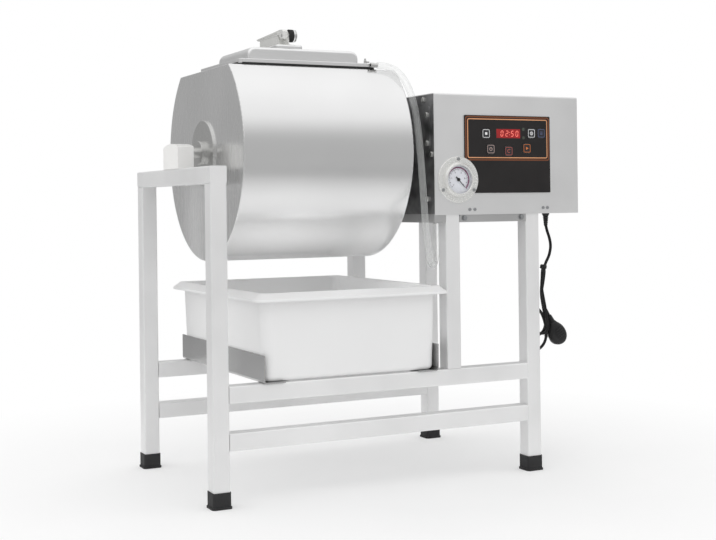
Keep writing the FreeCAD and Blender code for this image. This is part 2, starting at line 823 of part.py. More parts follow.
def make_bearing_block():
    """White plastic pillow on the crossbar, crowned on top, bored blind for the stub."""
    body = new_body("bearing_block")
    wide, high, crown = size("block_width"), size("block_height"), size("block_crown")
    sketch = new_sketch(body, "YZ_Plane")
    half = wide / 2
    left, right = Vector(-half.value, high.value, 0), Vector(half.value, high.value, 0)
    top = Vector(0, high.value + crown.value, 0)
    arc = sketch.addGeometry(Part.Arc(right, top, left), False)
    sides = [(left, Vector(left.x, 0, 0)), (Vector(left.x, 0, 0), Vector(right.x, 0, 0)),
             (Vector(right.x, 0, 0), right)]
    lines = [sketch.addGeometry(Part.LineSegment(a, b), False) for a, b in sides]
    sketch.addConstraint(Sketcher.Constraint("Coincident", arc, 2, lines[0], 1))
    sketch.addConstraint(Sketcher.Constraint("Coincident", lines[0], 2, lines[1], 1))
    sketch.addConstraint(Sketcher.Constraint("Coincident", lines[1], 2, lines[2], 1))
    sketch.addConstraint(Sketcher.Constraint("Coincident", lines[2], 2, arc, 1))
    fix_point(sketch, arc, 2, -half, high)
    fix_point(sketch, arc, 1, half, high)
    fix_point(sketch, lines[1], 1, -half, 0)
    fix_point(sketch, lines[1], 2, half, 0)
    fix_radius(sketch, arc, (half * half + crown * crown) / (2 * crown))
    pad(body, sketch, W)
    fillet(body, 2, lambda edge: along(edge, AXIS_X) and edge.Vertexes[0].Z > high.value - 0.01)
    document.recompute()
    rise = AXLE_Z - CROSSBAR_Z
    bore = circle(new_sketch(body, "YZ_Plane", size("stub_end_x") - 0.5), 0, rise,
                  size("stub_radius") + size("shaft_fit"))
    pocket(body, bore, W, reversed_way=True)
    place(node(body, "bearing_block"), 0, AXLE_Y, CROSSBAR_Z)


# Lid

def make_lid():
    """Pressed cover: a flange with a skirt, a raised dome and a pad for the clamp."""
    body = new_body("lid_cover")
    long, deep = size("hatch_length"), size("hatch_depth")
    skirt, sheet_, corner = size("lid_skirt"), size("lid_sheet"), size("lid_corner")
    margin, dome = size("dome_margin"), size("dome_height")
    right = long - size("dome_right_margin")
    end_round, edge_round = size("dome_end_round"), size("dome_edge_round")
    pad(body, rounded_rectangle(new_sketch(body), 0, 0, long, deep, corner), skirt)
    pad(body, rectangle(new_sketch(body, "XZ_Plane", -margin), margin, skirt - 1, right,
                        skirt + dome), deep - 2 * margin, reversed_way=True)
    fillet(body, end_round, lambda edge: along(edge, AXIS_Y)
           and at_height(edge, (skirt + dome).value))
    fillet(body, edge_round, lambda edge: edge.BoundBox.YLength < 1e-4
           and edge.BoundBox.ZMax > skirt.value + 1)
    pad_x, pad_y = PAD_X - LID_X, PAD_Y - LID_Y
    pad(body, rounded_rectangle(new_sketch(body, offset=skirt + dome - 1), pad_x, pad_y,
                                pad_x + size("pad_length"), pad_y + PAD_DEPTH, 8),
        size("pad_height") + 1)
    top = (skirt + dome + size("pad_height")).value
    fillet(body, 4, lambda edge: at_height(edge, top))
    fillet(body, 1, lambda edge: at_height(edge, skirt.value)
           and (edge.BoundBox.XMin < margin.value * 0.6 or edge.BoundBox.XMax > (long - margin * 0.6).value
                or edge.BoundBox.YMin < margin.value * 0.6
                or edge.BoundBox.YMax > (deep - margin * 0.6).value))
    document.recompute()
    wall = sheet_ + 0.5
    pocket(body, rounded_rectangle(new_sketch(body), wall, wall, long - wall, deep - wall,
                                   corner - wall), skirt - sheet_, reversed_way=True)
    inset = margin + sheet_
    pocket(body, rounded_rectangle(new_sketch(body, "XZ_Plane", -inset), inset, -2 * end_round,
                                   right - sheet_, skirt + dome - sheet_, end_round - sheet_),
           deep - 2 * inset)
    place(node(body, "lid_cover"), LID_X, LID_Y, LID_Z)
    make_gasket()
    make_lid_hinge(body)
    notch_lid(body)


def notch_lid(body):
    """A slot in the front right corner of the skirt, where the nozzle is let in."""
    radius = size("nozzle_radius")
    x0 = NOZZLE_END - size("nozzle_length") - LID_X
    low = NOZZLE_Z - radius - LID_Z
    document.recompute()
    slot = rectangle(new_sketch(body, "XZ_Plane", 1), x0, low, x0 + size("nozzle_length") + 2,
                     size("lid_skirt") + 1)
    reach = NOZZLE_Y + radius - LID_Y
    pocket(body, slot, reach + 1)


def make_gasket():
    """Ring that fills the skirt and stands on the drum's flat."""
    body = new_body("lid_gasket")
    long, deep = size("hatch_length"), size("hatch_depth")
    corner, wide = size("lid_corner"), size("gasket_width")
    low = size("gasket_height")
    sketch = new_sketch(body)
    rounded_rectangle(sketch, 0, 0, long, deep, corner)
    rounded_rectangle(sketch, wide, wide, long - wide, deep - wide, 4)
    pad(body, sketch, low)
    wall = size("lid_sheet") + 0.5
    inner = new_sketch(body, offset=low)
    rounded_rectangle(inner, wall, wall, long - wall, deep - wall, corner - wall)
    rounded_rectangle(inner, wide, wide, long - wide, deep - wide, 4)
    pad(body, inner, size("lid_skirt") - size("lid_sheet"))
    place(node(body, "lid_gasket"), LID_X, LID_Y, FLAT_Z)


def hinge_places():
    middle = LID_X + size("hatch_length") / 2
    return [middle - size("hinge_spacing") / 2, middle + size("hinge_spacing") / 2]


def make_lid_hinge(lid):
    """Two butt hinges: one knuckle on the lid between two on a leaf of the drum."""
    radius, pin = size("knuckle_radius"), size("pin_radius")
    wide, gap = size("knuckle_length"), size("knuckle_gap")
    y, z = HINGE_Y - LID_Y, HINGE_Z - LID_Z
    for middle in hinge_places():
        x = middle - LID_X
        outline = new_sketch(lid, "YZ_Plane", x - wide / 2)
        circle(outline, y, z, radius)
        pad(lid, outline, wide)
        web = new_sketch(lid, "YZ_Plane", x - wide / 2)
        rectangle(web, size("hatch_depth") - 1, z - 1, y, z + 1)
        pad(lid, web, wide)
        document.recompute()
        bore = circle(new_sketch(lid, "YZ_Plane", x - wide / 2 - 1), y, z,
                      pin + size("knuckle_fit"))
        pocket(lid, bore, wide + 2, reversed_way=True)
    leaves = []
    pins = []
    leaf = size("lid_sheet")
    for middle in hinge_places():
        body = new_body("hinge_leaf")
        half = wide / 2 + gap
        for start in (-half - wide / 2, half):
            outline = new_sketch(body, "YZ_Plane", start)
            circle(outline, 0, HINGE_Z - FLAT_Z, radius)
            pad(body, outline, wide / 2)
            foot = new_sketch(body, "YZ_Plane", start)
            rectangle(foot, 0, 0, radius - 0.5, HINGE_Z - FLAT_Z)
            pad(body, foot, wide / 2)
        leaf_sketch = new_sketch(body)
        rounded_rectangle(leaf_sketch, -half - wide / 2, radius - 1, half + wide / 2,
                          radius * 5.5, 3)
        pad(body, leaf_sketch, leaf)
        document.recompute()
        bore = circle(new_sketch(body, "YZ_Plane", -wide * 1.2), 0, HINGE_Z - FLAT_Z, pin)
        pocket(body, bore, wide * 2.4, reversed_way=True)
        leaves.append(place(body, middle, HINGE_Y, FLAT_Z))
        rod = document.addObject("Part::Cylinder", "hinge_rod")
        bind(rod, "Radius", pin)
        bind(rod, "Height", wide * 2 + gap * 2)
        pins.append(place(rod, middle - wide - gap, HINGE_Y, HINGE_Z, TO_X))
    group("hinge_leaves", leaves)
    group("hinge_pins", pins)


def make_clamp():
    """Cam clamp on the lid's pad: a block with a fork, a lever and a rubber roller."""
    x, wide = CLAMP_X, size("clamp_width")
    rise = size("clamp_pin_rise")
    pin = size("clamp_pin_radius")
    throat = size("clamp_throat")
    body = new_body("clamp_block")
    high = size("clamp_body_height")
    run = CLAMP_RUN
    corners = [(throat, 0), (throat + run, 0), (throat + run, high), (throat + 6, high),
               (throat, high - 5)]
    pad(body, polygon(new_sketch(body, "YZ_Plane"), corners), wide)
    cheek = size("lid_sheet")
    ear = new_sketch(body, "YZ_Plane", wide - cheek)
    polygon(ear, [(-7, 0), (throat + 1, 0), (throat + 1, high - 6), (7, rise + 5),
                  (3, rise + 7), (-3, rise + 7), (-7, rise + 3)])
    pad(body, ear, cheek)
    document.recompute()
    pocket(body, circle(new_sketch(body, "YZ_Plane", wide - cheek - 1), 0, rise, pin),
           cheek + 2, reversed_way=True)
    place(node(body, "clamp_block"), x, CLAMP_Y, PAD_TOP)

    lever = new_body("clamp_lever")
    sheet_ = size("clamp_lever_sheet")
    reach = throat + run + size("clamp_overhang")
    gap = size("clamp_gap")
    inner = wide - cheek - gap
    base = high - rise + gap
    top = new_sketch(lever, "YZ_Plane", 0)
    polygon(top, [(-6, base + 5), (-2, base + 8.5), (8, base + 9.5), (reach, base + sheet_ + 1),
                  (reach, base + 1), (throat + run - 4, base), (throat, base), (7, -5),
                  (-4, -6), (-7, -2)])
    pad(lever, top, inner)
    document.recompute()
    pocket(lever, circle(new_sketch(lever, "YZ_Plane", -1), 0, 0, pin + size("shaft_fit")),
           inner + 2, reversed_way=True)
    lip = new_sketch(lever, "YZ_Plane", -1.5)
    polygon(lip, [(throat + 6, base + 5), (reach, base + sheet_ - 1),
                  (reach, base + sheet_ + 1), (throat + 6, base + 8)])
    pad(lever, lip, inner + 1.5)
    place(node(lever, "clamp_lever"), x, CLAMP_Y, CLAMP_Z)

    roller = size("roller_radius")
    long = size("roller_width")
    start = x + wide + gap
    fit = pin + size("shaft_fit")
    turned("clamp_roller", [(fit, 0), (roller - 1, 0), (roller, 1), (roller, long - 1),
                            (roller - 1, long), (fit, long)],
           start, CLAMP_Y, CLAMP_Z, TO_X)
    reach = wide + gap + long + gap
    cap = roller * 0.96
    turned("clamp_pin", [(0, 0), (pin, 0), (pin, reach), (cap - 1, reach), (cap, reach + 1),
                         (cap, reach + 2), (cap - 2, reach + 3), (0, reach + 3)],
           x, CLAMP_Y, CLAMP_Z, TO_X)


def make_lid_fittings():
    radius, bore = size("nozzle_radius"), size("nozzle_bore")
    long = size("nozzle_length")
    turned("lid_nozzle", [(bore, 0), (radius, 0), (radius, long * 0.45), (radius - 1, long * 0.5),
                          (radius, long * 0.7), (radius - 1, long * 0.75), (radius, long * 0.95),
                          (radius - 0.5, long), (bore, long)],
           NOZZLE_END - long, NOZZLE_Y, NOZZLE_Z, TO_X)
    stem, high = size("valve_radius"), size("valve_height")
    body = new_body("air_valve")
    profile = [(0, 0), (stem + 1.2, 0), (stem + 1.2, 2), (stem, 3), (stem, high * 0.6),
               (stem - 0.8, high * 0.7), (stem - 0.8, high - 1), (stem - 1.6, high), (0, high)]
    revolve(body, polygon(new_sketch(body, "XZ_Plane"), profile))
    document.recompute()
    bar = new_sketch(body, offset=3)
    rounded_rectangle(bar, 0, -stem * 0.6, stem + 6, stem * 0.6, stem * 0.5)
    pad(body, bar, 2.4)
    place(node(body, "air_valve"), LID_END - size("valve_inset"),
          LID_Y + size("valve_set_back"), LID_TOP)


# Control box

def make_box_cover():
    """Folded cover: front, top, right side and rear in one sheet, open below and left."""
    body = new_body("box_cover")
    lap, sheet_ = size("box_lap"), size("box_sheet")
    long, high = size("box_length"), size("box_height")
    y0, y1 = -lap, DEPTH + lap
    pad(body, rectangle(new_sketch(body), 0, y0, long, y1), high)
    fillet(body, size("box_bend"), lambda edge: (along(edge, AXIS_Z) and edge.Vertexes[0].X > 1)
           or (at_height(edge, high.value) and edge.BoundBox.XMax > 1))
    document.recompute()
    inside = rectangle(new_sketch(body), -1, y0 + sheet_, long - sheet_, y1 - sheet_)
    pocket(body, inside, high - sheet_, reversed_way=True)
    front = new_sketch(body, "XZ_Plane", lap + 1)
    floor = BOX_Z
    circle(front, GAUGE_X - BOX_X, GAUGE_Z - floor, size("gauge_case_radius") + 0.25)
    display_x = DISPLAY_X - BOX_X
    display_z = DISPLAY_Z - floor
    rectangle(front, display_x + 3, display_z + 2, display_x + size("display_length") - 3,
              display_z + size("display_height") - 2)
    for x, z in KEY_PLACES.values():
        circle(front, size("panel_inset") + x, size("panel_rise") + z,
               size("key_stem_radius") + 0.3)
    pocket(body, front, sheet_ + 2)
    vents = new_sketch(body, "YZ_Plane", long + 1)
    for step in range(7):
        low = high / 2 + step * high / 20
        rectangle(vents, DEPTH * 0.30, low, DEPTH * 0.70, low + high / 56)
    pocket(body, vents, sheet_ + 2)
    place(node(body, "box_cover"), BOX_X, 0, floor)


def make_drive_plate():
    """Thick plate at the drum's side that carries the bearing and the gearbox."""
    body = new_body("drive_plate")
    lap, sheet_ = size("box_lap"), size("box_sheet")
    thick = size("plate_sheet")
    floor = BOX_Z + size("tray_sheet")
    inner = sheet_ - lap
    pad(body, rectangle(new_sketch(body, "YZ_Plane"), inner, 0, DEPTH - inner,
                        BOX_TOP - sheet_ - floor), thick)
    document.recompute()
    pocket(body, circle(new_sketch(body, "YZ_Plane", -1), AXLE_Y, AXLE_Z - floor,
                        size("shaft_radius") + 2), thick + 2, reversed_way=True)
    groove = new_sketch(body, "YZ_Plane", 0)
    for inset in (0.0, 4.0):
        rounded_rectangle(groove, DEPTH * 0.03 + inset, size("box_height") * 0.5 + inset,
                          DEPTH * 0.16 - inset, size("box_height") * 0.91 - inset, 8 - inset / 2)
    pocket(body, groove, 1, reversed_way=True)
    place(node(body, "drive_plate"), PLATE_X, 0, floor)


def make_tray():
    """Floor sheet of the box with skirts turned down, notched round the posts."""
    body = new_body("base_tray")
    sheet_, skirt = size("tray_sheet"), size("tray_skirt")
    edge_y = size("box_sheet") - size("box_lap")
    right = LENGTH - W - BOX_X
    y0, y1 = edge_y, DEPTH - edge_y
    pad(body, rectangle(new_sketch(body, offset=-skirt), 0, 0.5, right, DEPTH - 0.5), skirt)
    document.recompute()
    pocket(body, rectangle(new_sketch(body, offset=-skirt), sheet_, 0.5 + sheet_, right + 1,
                           DEPTH - 0.5 - sheet_), skirt, reversed_way=True)
    pad(body, rectangle(new_sketch(body), 0, y0, size("box_length") - size("box_sheet"), y1),
        sheet_)
    document.recompute()
    post = POST_X - BOX_X
    notches = new_sketch(body, offset=-skirt)
    rectangle(notches, post, -1, post + W, W)
    rectangle(notches, post, DEPTH - W, post + W, DEPTH + 1)
    pocket(body, notches, skirt, reversed_way=True)
    hole = circle(new_sketch(body, offset=-1), size("fitting_x") - BOX_X, size("fitting_y"),
                  size("hose_radius") - 1 + size("shaft_fit"))
    pocket(body, hole, sheet_ + 2, reversed_way=True)
    place(node(body, "base_tray"), BOX_X, 0, BOX_Z)


def make_panel():
    """Dark panel with holes for the keys and the display, cut round the gauge."""
    body = new_body("key_panel")
    left, low = PANEL_X, PANEL_Z
    thick = size("panel_sheet")
    pad(body, rounded_rectangle(new_sketch(body, "XZ_Plane"), 0, 0, size("panel_length"),
                                size("panel_height"), 2), thick)
    document.recompute()
    holes = new_sketch(body, "XZ_Plane")
    half = size("key_size") / 2 + size("key_gap")
    corner = size("key_corner") + size("key_gap")
    for x, z in KEY_PLACES.values():
        rounded_rectangle(holes, x - half, z - half, x + half, z + half, corner)
    pocket(body, holes, thick, reversed_way=True)
    window = new_sketch(body, "XZ_Plane")
    x, z = DISPLAY_X - left, DISPLAY_Z - low
    rectangle(window, x, z, x + size("display_length"), z + size("display_height"))
    pocket(body, window, thick, reversed_way=True)
    lamps = new_sketch(body, "XZ_Plane")
    for level in ("lamp_low_rise", "lamp_high_rise"):
        circle(lamps, size("lamp_inset"), size(level), size("lamp_radius"))
    pocket(body, lamps, thick, reversed_way=True)
    notch = circle(new_sketch(body, "XZ_Plane"), GAUGE_X - left, GAUGE_Z - low,
                   size("gauge_flange_radius") + 0.3)
    pocket(body, notch, thick, reversed_way=True)
    place(node(body, "key_panel"), left, BOX_FRONT, low)


def make_keys():
    """Soft-touch caps on short stems that press the switches of the board."""
    half = size("key_size") / 2
    proud = size("panel_sheet") + size("key_proud")
    cap = size("key_cap")
    reach = proud - cap + size("board_gap") - 1.2
    for label, (x, z) in KEY_PLACES.items():
        body = new_body(label)
        pad(body, rounded_rectangle(new_sketch(body, "XZ_Plane", proud - cap), -half, -half, half,
                                    half, size("key_corner")), cap)
        pad(body, circle(new_sketch(body, "XZ_Plane", proud - cap), 0, 0,
                         size("key_stem_radius")), reach, reversed_way=True)
        place(node(body, label), PANEL_X + x, BOX_FRONT, PANEL_Z + z)


def make_display():
    body = new_body("display_window")
    pad(body, rectangle(new_sketch(body, "XZ_Plane"), 0, 0, size("display_length"),
                        size("display_height")), size("panel_sheet"))
    place(node(body, "display_window"), DISPLAY_X, BOX_FRONT, DISPLAY_Z)
    lamps = []
    for level in ("lamp_low_rise", "lamp_high_rise"):
        lamp = document.addObject("Part::Cylinder", "lamp")
        bind(lamp, "Radius", size("lamp_radius"))
        bind(lamp, "Height", size("panel_sheet"))
        lamps.append(place(lamp, PANEL_X + size("lamp_inset"), BOX_FRONT,
                           PANEL_Z + size(level), TO_FRONT))
    group("indicator_lamps", lamps)
    board = new_body("control_board")
    gap, thick = size("board_gap"), size("board_sheet")
    x0, z0 = size("board_inset"), size("board_rise")
    x1, z1 = size("panel_length") - size("board_margin"), size("panel_height") - size("board_margin")
    pad(board, rectangle(new_sketch(board, "XZ_Plane", -gap), x0, z0, x1, z1), thick,
        reversed_way=True)
    corners = new_sketch(board, "XZ_Plane", -gap)
    for x in (x0 + 5, x1 - 5):
        for z in (z0 + 5, z1 - 5):
            circle(corners, x, z, 3)
    pad(board, corners, gap - size("box_sheet"))
    x, z = size("display_inset"), size("display_rise")
    module = rectangle(new_sketch(board, "XZ_Plane", -gap), x + 4, z + 3,
                       x + size("display_length") - 4, z + size("display_height") - 3)
    pad(board, module, gap)
    place(node(board, "control_board"), PANEL_X, BOX_FRONT, PANEL_Z)


def make_gauge():
    """Flanged vacuum gauge: case, dial plate, needle and glass."""
    flange, thick = size("gauge_flange_radius"), size("gauge_flange_sheet")
    case, deep = size("gauge_case_radius"), size("gauge_case_depth")
    rise, window = size("gauge_bezel_rise"), size("gauge_window_radius")
    wall, glass = size("gauge_wall"), size("gauge_glass_sheet")
    cup = case - wall
    x, z = GAUGE_X, GAUGE_Z
    turned("gauge_case", [(0, -deep), (case - 1, -deep), (case, 1 - deep), (case, 0), (flange, 0),
                          (flange, thick - 0.8), (flange - 0.8, thick), (case + 2, thick),
                          (case + 1, rise - 2), (case - 1, rise), (window + 1, rise),
                          (window, rise - wall), (window, rise - wall - 0.5), (cup, rise - wall - 0.5),
                          (cup, wall - deep), (0, wall - deep)],
           x, BOX_FRONT, z, TO_FRONT)
    glass_top = rise - wall - 0.5
    turned("gauge_glass", [(0, glass_top - glass), (cup, glass_top - glass), (cup, glass_top),
                           (0, glass_top)], x, BOX_FRONT, z, TO_FRONT)
    dial = glass_top - glass - size("gauge_dial_depth")
    turned("gauge_dial", [(0, dial - 1), (cup, dial - 1), (cup, dial), (1.6, dial), (1.6, dial + 1.2),
                          (0, dial + 1.2)], x, BOX_FRONT, z, TO_FRONT)
    needle = new_body("gauge_needle")
    hub, reach, sheet_ = size("gauge_hub_radius"), size("needle_length"), size("needle_sheet")
    pad(needle, polygon(new_sketch(needle), [(-7, -1.2), (0, -0.9), (reach, -0.25), (reach, 0.25),
                                             (0, 0.9), (-7, 1.2)]), sheet_)
    pad(needle, circle(new_sketch(needle, offset=-sheet_ / 4), 0, 0, hub), sheet_ * 2.2)
    document.recompute()
    pocket(needle, circle(new_sketch(needle, offset=-1), 0, 0, 1.65), 2, reversed_way=True)
    turn = TO_FRONT.multiply(Rotation(Vector(0, 0, 1), SIZES["needle_turn"]))
    place(node(needle, "gauge_needle"), x, BOX_FRONT - dial - 0.8, z, turn)


def make_screws():
    head, high = size("screw_head_radius"), size("screw_head_height")
    spots = []
    for x, z in COVER_SCREW_PLACES:
        spots.append((BOX_X + x, BOX_FRONT, BOX_Z + z))
    reach = (size("gauge_flange_radius") + size("gauge_case_radius")) / 2 + 1.5
    for angle in (90.0, 210.0, 330.0):
        turn = math.radians(angle)
        spots.append((GAUGE_X + reach * math.cos(turn),
                      BOX_FRONT - size("gauge_flange_sheet"),
                      GAUGE_Z + reach * math.sin(turn)))
    heads = []
    for x, y, z in spots:
        body = new_body("screw")
        profile = [(0, 0), (head, 0), (head, high * 0.4), (head * 0.6, high), (0, high)]
        revolve(body, polygon(new_sketch(body, "XZ_Plane"), profile))
        heads.append(place(body, x, y, z, TO_FRONT))
    group("panel_screws", heads)
    bolts = []
    head, high = size("bolt_head_radius"), size("bolt_head_height")
    spots = [(as_dim(inset), drop) for inset, drop in FRONT_BOLT_PLACES]
    spots += [(DEPTH - inset, drop) for inset, drop in REAR_BOLT_PLACES]
    for y, drop in spots:
        body = new_body("bolt")
        profile = [(0, 0), (head, 0), (head, high - 1), (head - 1, high), (0, high)]
        revolve(body, polygon(new_sketch(body, "XZ_Plane"), profile))
        bolts.append(place(body, PLATE_X, y, BOX_TOP - drop, TO_LEFT))
    group("plate_bolts", bolts)


# Drive inside the box

def make_drive():
    radius, wide = size("bearing_radius"), size("bearing_width")
    shaft = size("shaft_radius")
    fit = size("shaft_fit")
    turned("flange_bearing", [(shaft + fit, 0), (radius, 0), (radius, wide * 0.35),
                              (radius * 0.7, wide * 0.45), (radius * 0.65, wide - 1),
                              (radius * 0.6, wide), (shaft + fit, wide)],
           PLATE_IN, AXLE_Y, AXLE_Z, TO_X)
    make_gear_case()
    make_motor()


def make_gear_case():
    """Worm gearbox with a hollow output bore and a cross tube for the worm."""
    body = new_body("gear_case")
    long, wide, high = size("gear_case_length"), size("gear_case_width"), size("gear_case_height")
    rise = -size("worm_offset")
    low = high * 0.58
    pad(body, rounded_rectangle(new_sketch(body, "YZ_Plane"), -wide / 2, -low, wide / 2,
                                high - low, 14), long)
    fillet(body, 4, lambda edge: edge.BoundBox.XLength < 1e-4)
    worm = circle(new_sketch(body, "XZ_Plane", -wide / 2), long / 2, rise,
                  size("worm_housing_radius"))
    pad(body, worm, wide + 16)
    gap = size("gear_case_gap")
    collar = circle(new_sketch(body, "YZ_Plane", -gap), 0, 0, size("shaft_radius") + 6)
    pad(body, collar, gap + 1)
    document.recompute()
    bore = circle(new_sketch(body, "YZ_Plane", -gap - 1), 0, 0,
                  size("shaft_radius") + size("shaft_fit"))
    pocket(body, bore, long + gap + 2, reversed_way=True)
    bore = circle(new_sketch(body, "XZ_Plane", -wide / 2 - 1), long / 2, rise,
                  size("rotor_shaft_radius") + size("shaft_fit"))
    pocket(body, bore, 41, reversed_way=True)
    place(node(body, "gear_case"), GEAR_X, AXLE_Y, AXLE_Z)


def make_motor():
    """Finned motor shell with a rotor that runs in its two end caps."""
    radius, long = size("motor_radius"), MOTOR_LENGTH
    wall, cap = size("motor_wall"), size("motor_cap")
    shaft, fit = size("rotor_shaft_radius"), size("shaft_fit")
    inner = radius - wall
    body = new_body("motor_case")
    revolve(body, polygon(new_sketch(body, "XZ_Plane"), [
        (shaft + fit, 0), (radius, 0), (radius, long - 2), (radius - 2, long), (shaft + fit, long),
        (shaft + fit, long - cap), (inner, long - cap), (inner, cap), (shaft + fit, cap)]))
    fins = rectangle(new_sketch(body, offset=cap), radius - 1, -1.2, radius + size("fin_height"), 1.2)
    fin = pad(body, fins, long - 2 * cap)
    document.recompute()
    pattern = body.newObject("PartDesign::PolarPattern", "Fins")
    pattern.Originals = [fin]
    pattern.Axis = ([f for f in body.Origin.OriginFeatures if f.Role == "Z_Axis"][0], [""])
    pattern.Angle = 360
    bind(pattern, "Occurrences", size("fin_count"))
    body.Tip = pattern
    place(node(body, "motor_case"), WORM_X, MOTOR_Y, WORM_Z, TO_Y)
    core = size("rotor_radius")
    start = cap + 6
    finish = long - cap - 6
    turned("motor_rotor", [(0, -39), (shaft, -39), (shaft, start), (core, start), (core, finish),
                           (shaft, finish), (shaft, long + 6), (0, long + 6)],
           WORM_X, MOTOR_Y, WORM_Z, TO_Y)


def make_pump():
    """Small piston pump with a motor drum and a finned head."""
    long, wide, high = size("pump_length"), size("pump_width"), size("pump_height")
    body = new_body("vacuum_pump")
    pad(body, rounded_rectangle(new_sketch(body), 0, 0, long, wide, 6), 4)
    barrel = circle(new_sketch(body, "YZ_Plane", 12), wide / 2, 4 + wide * 0.42, wide * 0.42)
    pad(body, barrel, long * 0.55)
    head = rounded_rectangle(new_sketch(body), long * 0.62, wide * 0.2, long - 6, wide * 0.8, 5)
    pad(body, head, high)
    place(node(body, "vacuum_pump"), BOX_X + size("pump_inset"), size("pump_set_back"),
          BOX_Z + size("tray_sheet"))


# Hose, lead and their fittings

def make_fittings():
    hose = size("hose_radius")
    drop = size("fitting_drop")
    tray = size("tray_sheet")
    high = drop + tray + 8
    turned("hose_fitting", [(2.5, 0), (hose - 1, 0), (hose - 1, 6), (hose + 2.5, 6), (hose + 2.5, drop - 0.1),
                            (hose - 1, drop - 0.1), (hose - 1, high), (2.5, high)],
           size("fitting_x"), size("fitting_y"), BOX_Z - drop)
    gland = size("gland_length")
    lead = size("lead_radius")
    turned("cord_sleeve", [(0, 0), (lead + 0.5, 0), (lead + 1.5, gland - 3), (lead + 4, gland - 3),
                           (lead + 4, gland), (0, gland)],
           size("gland_x"), size("gland_y"), BOX_Z - gland)


def tangent_path(points):
    """Straight runs joined by arcs as large as the runs allow, with the arcs' radii."""
    points = [Vector(*point) for point in points]
    edges = []
    radii = []
    start = points[0]
    for before, corner, after in zip(points, points[1:], points[2:]):
        back = (before - corner).normalize()
        ahead = (after - corner).normalize()
        turn = math.pi - back.getAngle(ahead)
        shorter = min((before - corner).Length, (after - corner).Length)
        reach = 0.45 * shorter
        radius = reach / math.tan(turn / 2)
        enter = corner + back * reach
        leave = corner + ahead * reach
        to_middle = (back + ahead).normalize()
        middle = corner + to_middle * (radius / math.cos(turn / 2) - radius)
        edges.append(Part.LineSegment(start, enter).toShape())
        edges.append(Part.Arc(enter, middle, leave).toShape())
        radii.append(radius)
        start = leave
    edges.append(Part.LineSegment(start, points[-1]).toShape())
    return Part.Wire(edges), radii


def cord_tube(label, points, radius):
    """A plain round tube along a route of points given from the leg's corner."""
    path, radii = tangent_path(points)
    first = Vector(*points[0])
    heading = Vector(*points[1]) - first
    ring = Part.Wire([Part.makeCircle(radius.value, first, heading)])
    solid = path.makePipeShell([ring], True, False)
    wanted = math.pi * radius.value ** 2 * path.Length
    print("%s: length %.1f, volume %.4f of section x length, radii %s" % (
        label, path.Length, solid.Volume / wanted, ", ".join("%.1f" % r for r in radii)))
    piece = document.addObject("Part::Feature", "Cord_" + label)
    piece.Shape = solid
    return place(node(piece, label), 0, 0, 0)


def make_cords():
    cord_tube("vacuum_hose", HOSE_ROUTE, size("hose_radius"))
    cord_tube("mains_lead", LEAD_ROUTE, size("lead_radius"))
    cord_tube("lead_tail", TAIL_ROUTE, size("lead_radius"))
    rings = []
    for x, y, z, half_long, half_deep in HANK_SECTIONS:
        stretch = FreeCAD.Matrix(half_long, 0, 0, x, 0, half_deep, 0, y, 0, 0, 1, z, 0, 0, 0, 1)
        ring = Part.Wire([Part.makeCircle(1)])
        rings.append(ring.transformGeometry(stretch))
    hank = document.addObject("Part::Feature", "Cord_hank")
    hank.Shape = Part.makeLoft(rings, True)
    place(node(hank, "lead_hank"), 0, 0, 0)


def make_plug():
    """Round moulded mains plug with two pins and a sleeve for the lead."""
    body = new_body("mains_plug")
    radius, thick = size("plug_radius"), size("plug_thickness")
    profile = [(0, 0), (radius, 0), (radius, thick * 0.55), (radius * 0.82, thick), (0, thick)]
    revolve(body, polygon(new_sketch(body, "XZ_Plane"), profile))
    fillet(body, 2, lambda edge: edge.Curve.TypeId == "Part::GeomCircle"
           and edge.Vertexes[0].Z > thick.value * 0.5)
    pins = new_sketch(body)
    circle(pins, -9.5, 0, 2.4)
    circle(pins, 9.5, 0, 2.4)
    pad(body, pins, 19, reversed_way=True)
    root_, tip = thick * 0.46, size("lead_radius") + 2
    start = radius * 0.6
    run = size("plug_reach") - start
    sleeve = pad(body, circle(new_sketch(body, "XZ_Plane", start), 0, thick / 2, root_), run)
    narrow = math.degrees(math.atan((tip.value - root_.value) / run.value))
    bind(sleeve, "TaperAngle", Dim(narrow, "atan(%s)" % ((tip - root_) / run).text))
    turn = Rotation(Vector(0, 0, 1), 180 + SIZES["plug_turn"])
    place(node(body, "mains_plug"), size("plug_x"), 56, size("plug_z"),
          Rotation(Vector(1, 0, 0), 90).multiply(turn))


def check_and_write():
    document.recompute()
    for thing in document.Objects:
        if "Invalid" in thing.State or "Error" in thing.State:
            raise ValueError("%s (%s) did not recompute: %s" % (thing.Name, thing.Label, thing.State))
    os.makedirs("parts", exist_ok=True)
    for thing in NODES:
        shape = thing.Shape
        if shape.isNull() or not shape.isValid() or not shape.Solids:
            raise ValueError("%s has no valid solid" % thing.Label)
    for thing in NODES:
        thing.Shape.exportStep("parts/%s.step" % thing.Label)
    print("%d nodes, %d solids" % (len(NODES), sum(len(thing.Shape.Solids) for thing in NODES)))


make_frame()
make_feet()
make_bin_guides()
make_bin()
make_drum()
make_axle()
make_bearing_block()
make_lid()
make_clamp()
make_lid_fittings()
make_box_cover()
make_drive_plate()
make_tray()
make_panel()
make_keys()
make_display()
make_gauge()
make_screws()
make_drive()
make_pump()
make_fittings()
make_cords()
make_plug()
check_and_write()
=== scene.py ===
import bpy
import bmesh
import math
from mathutils import Matrix, Vector


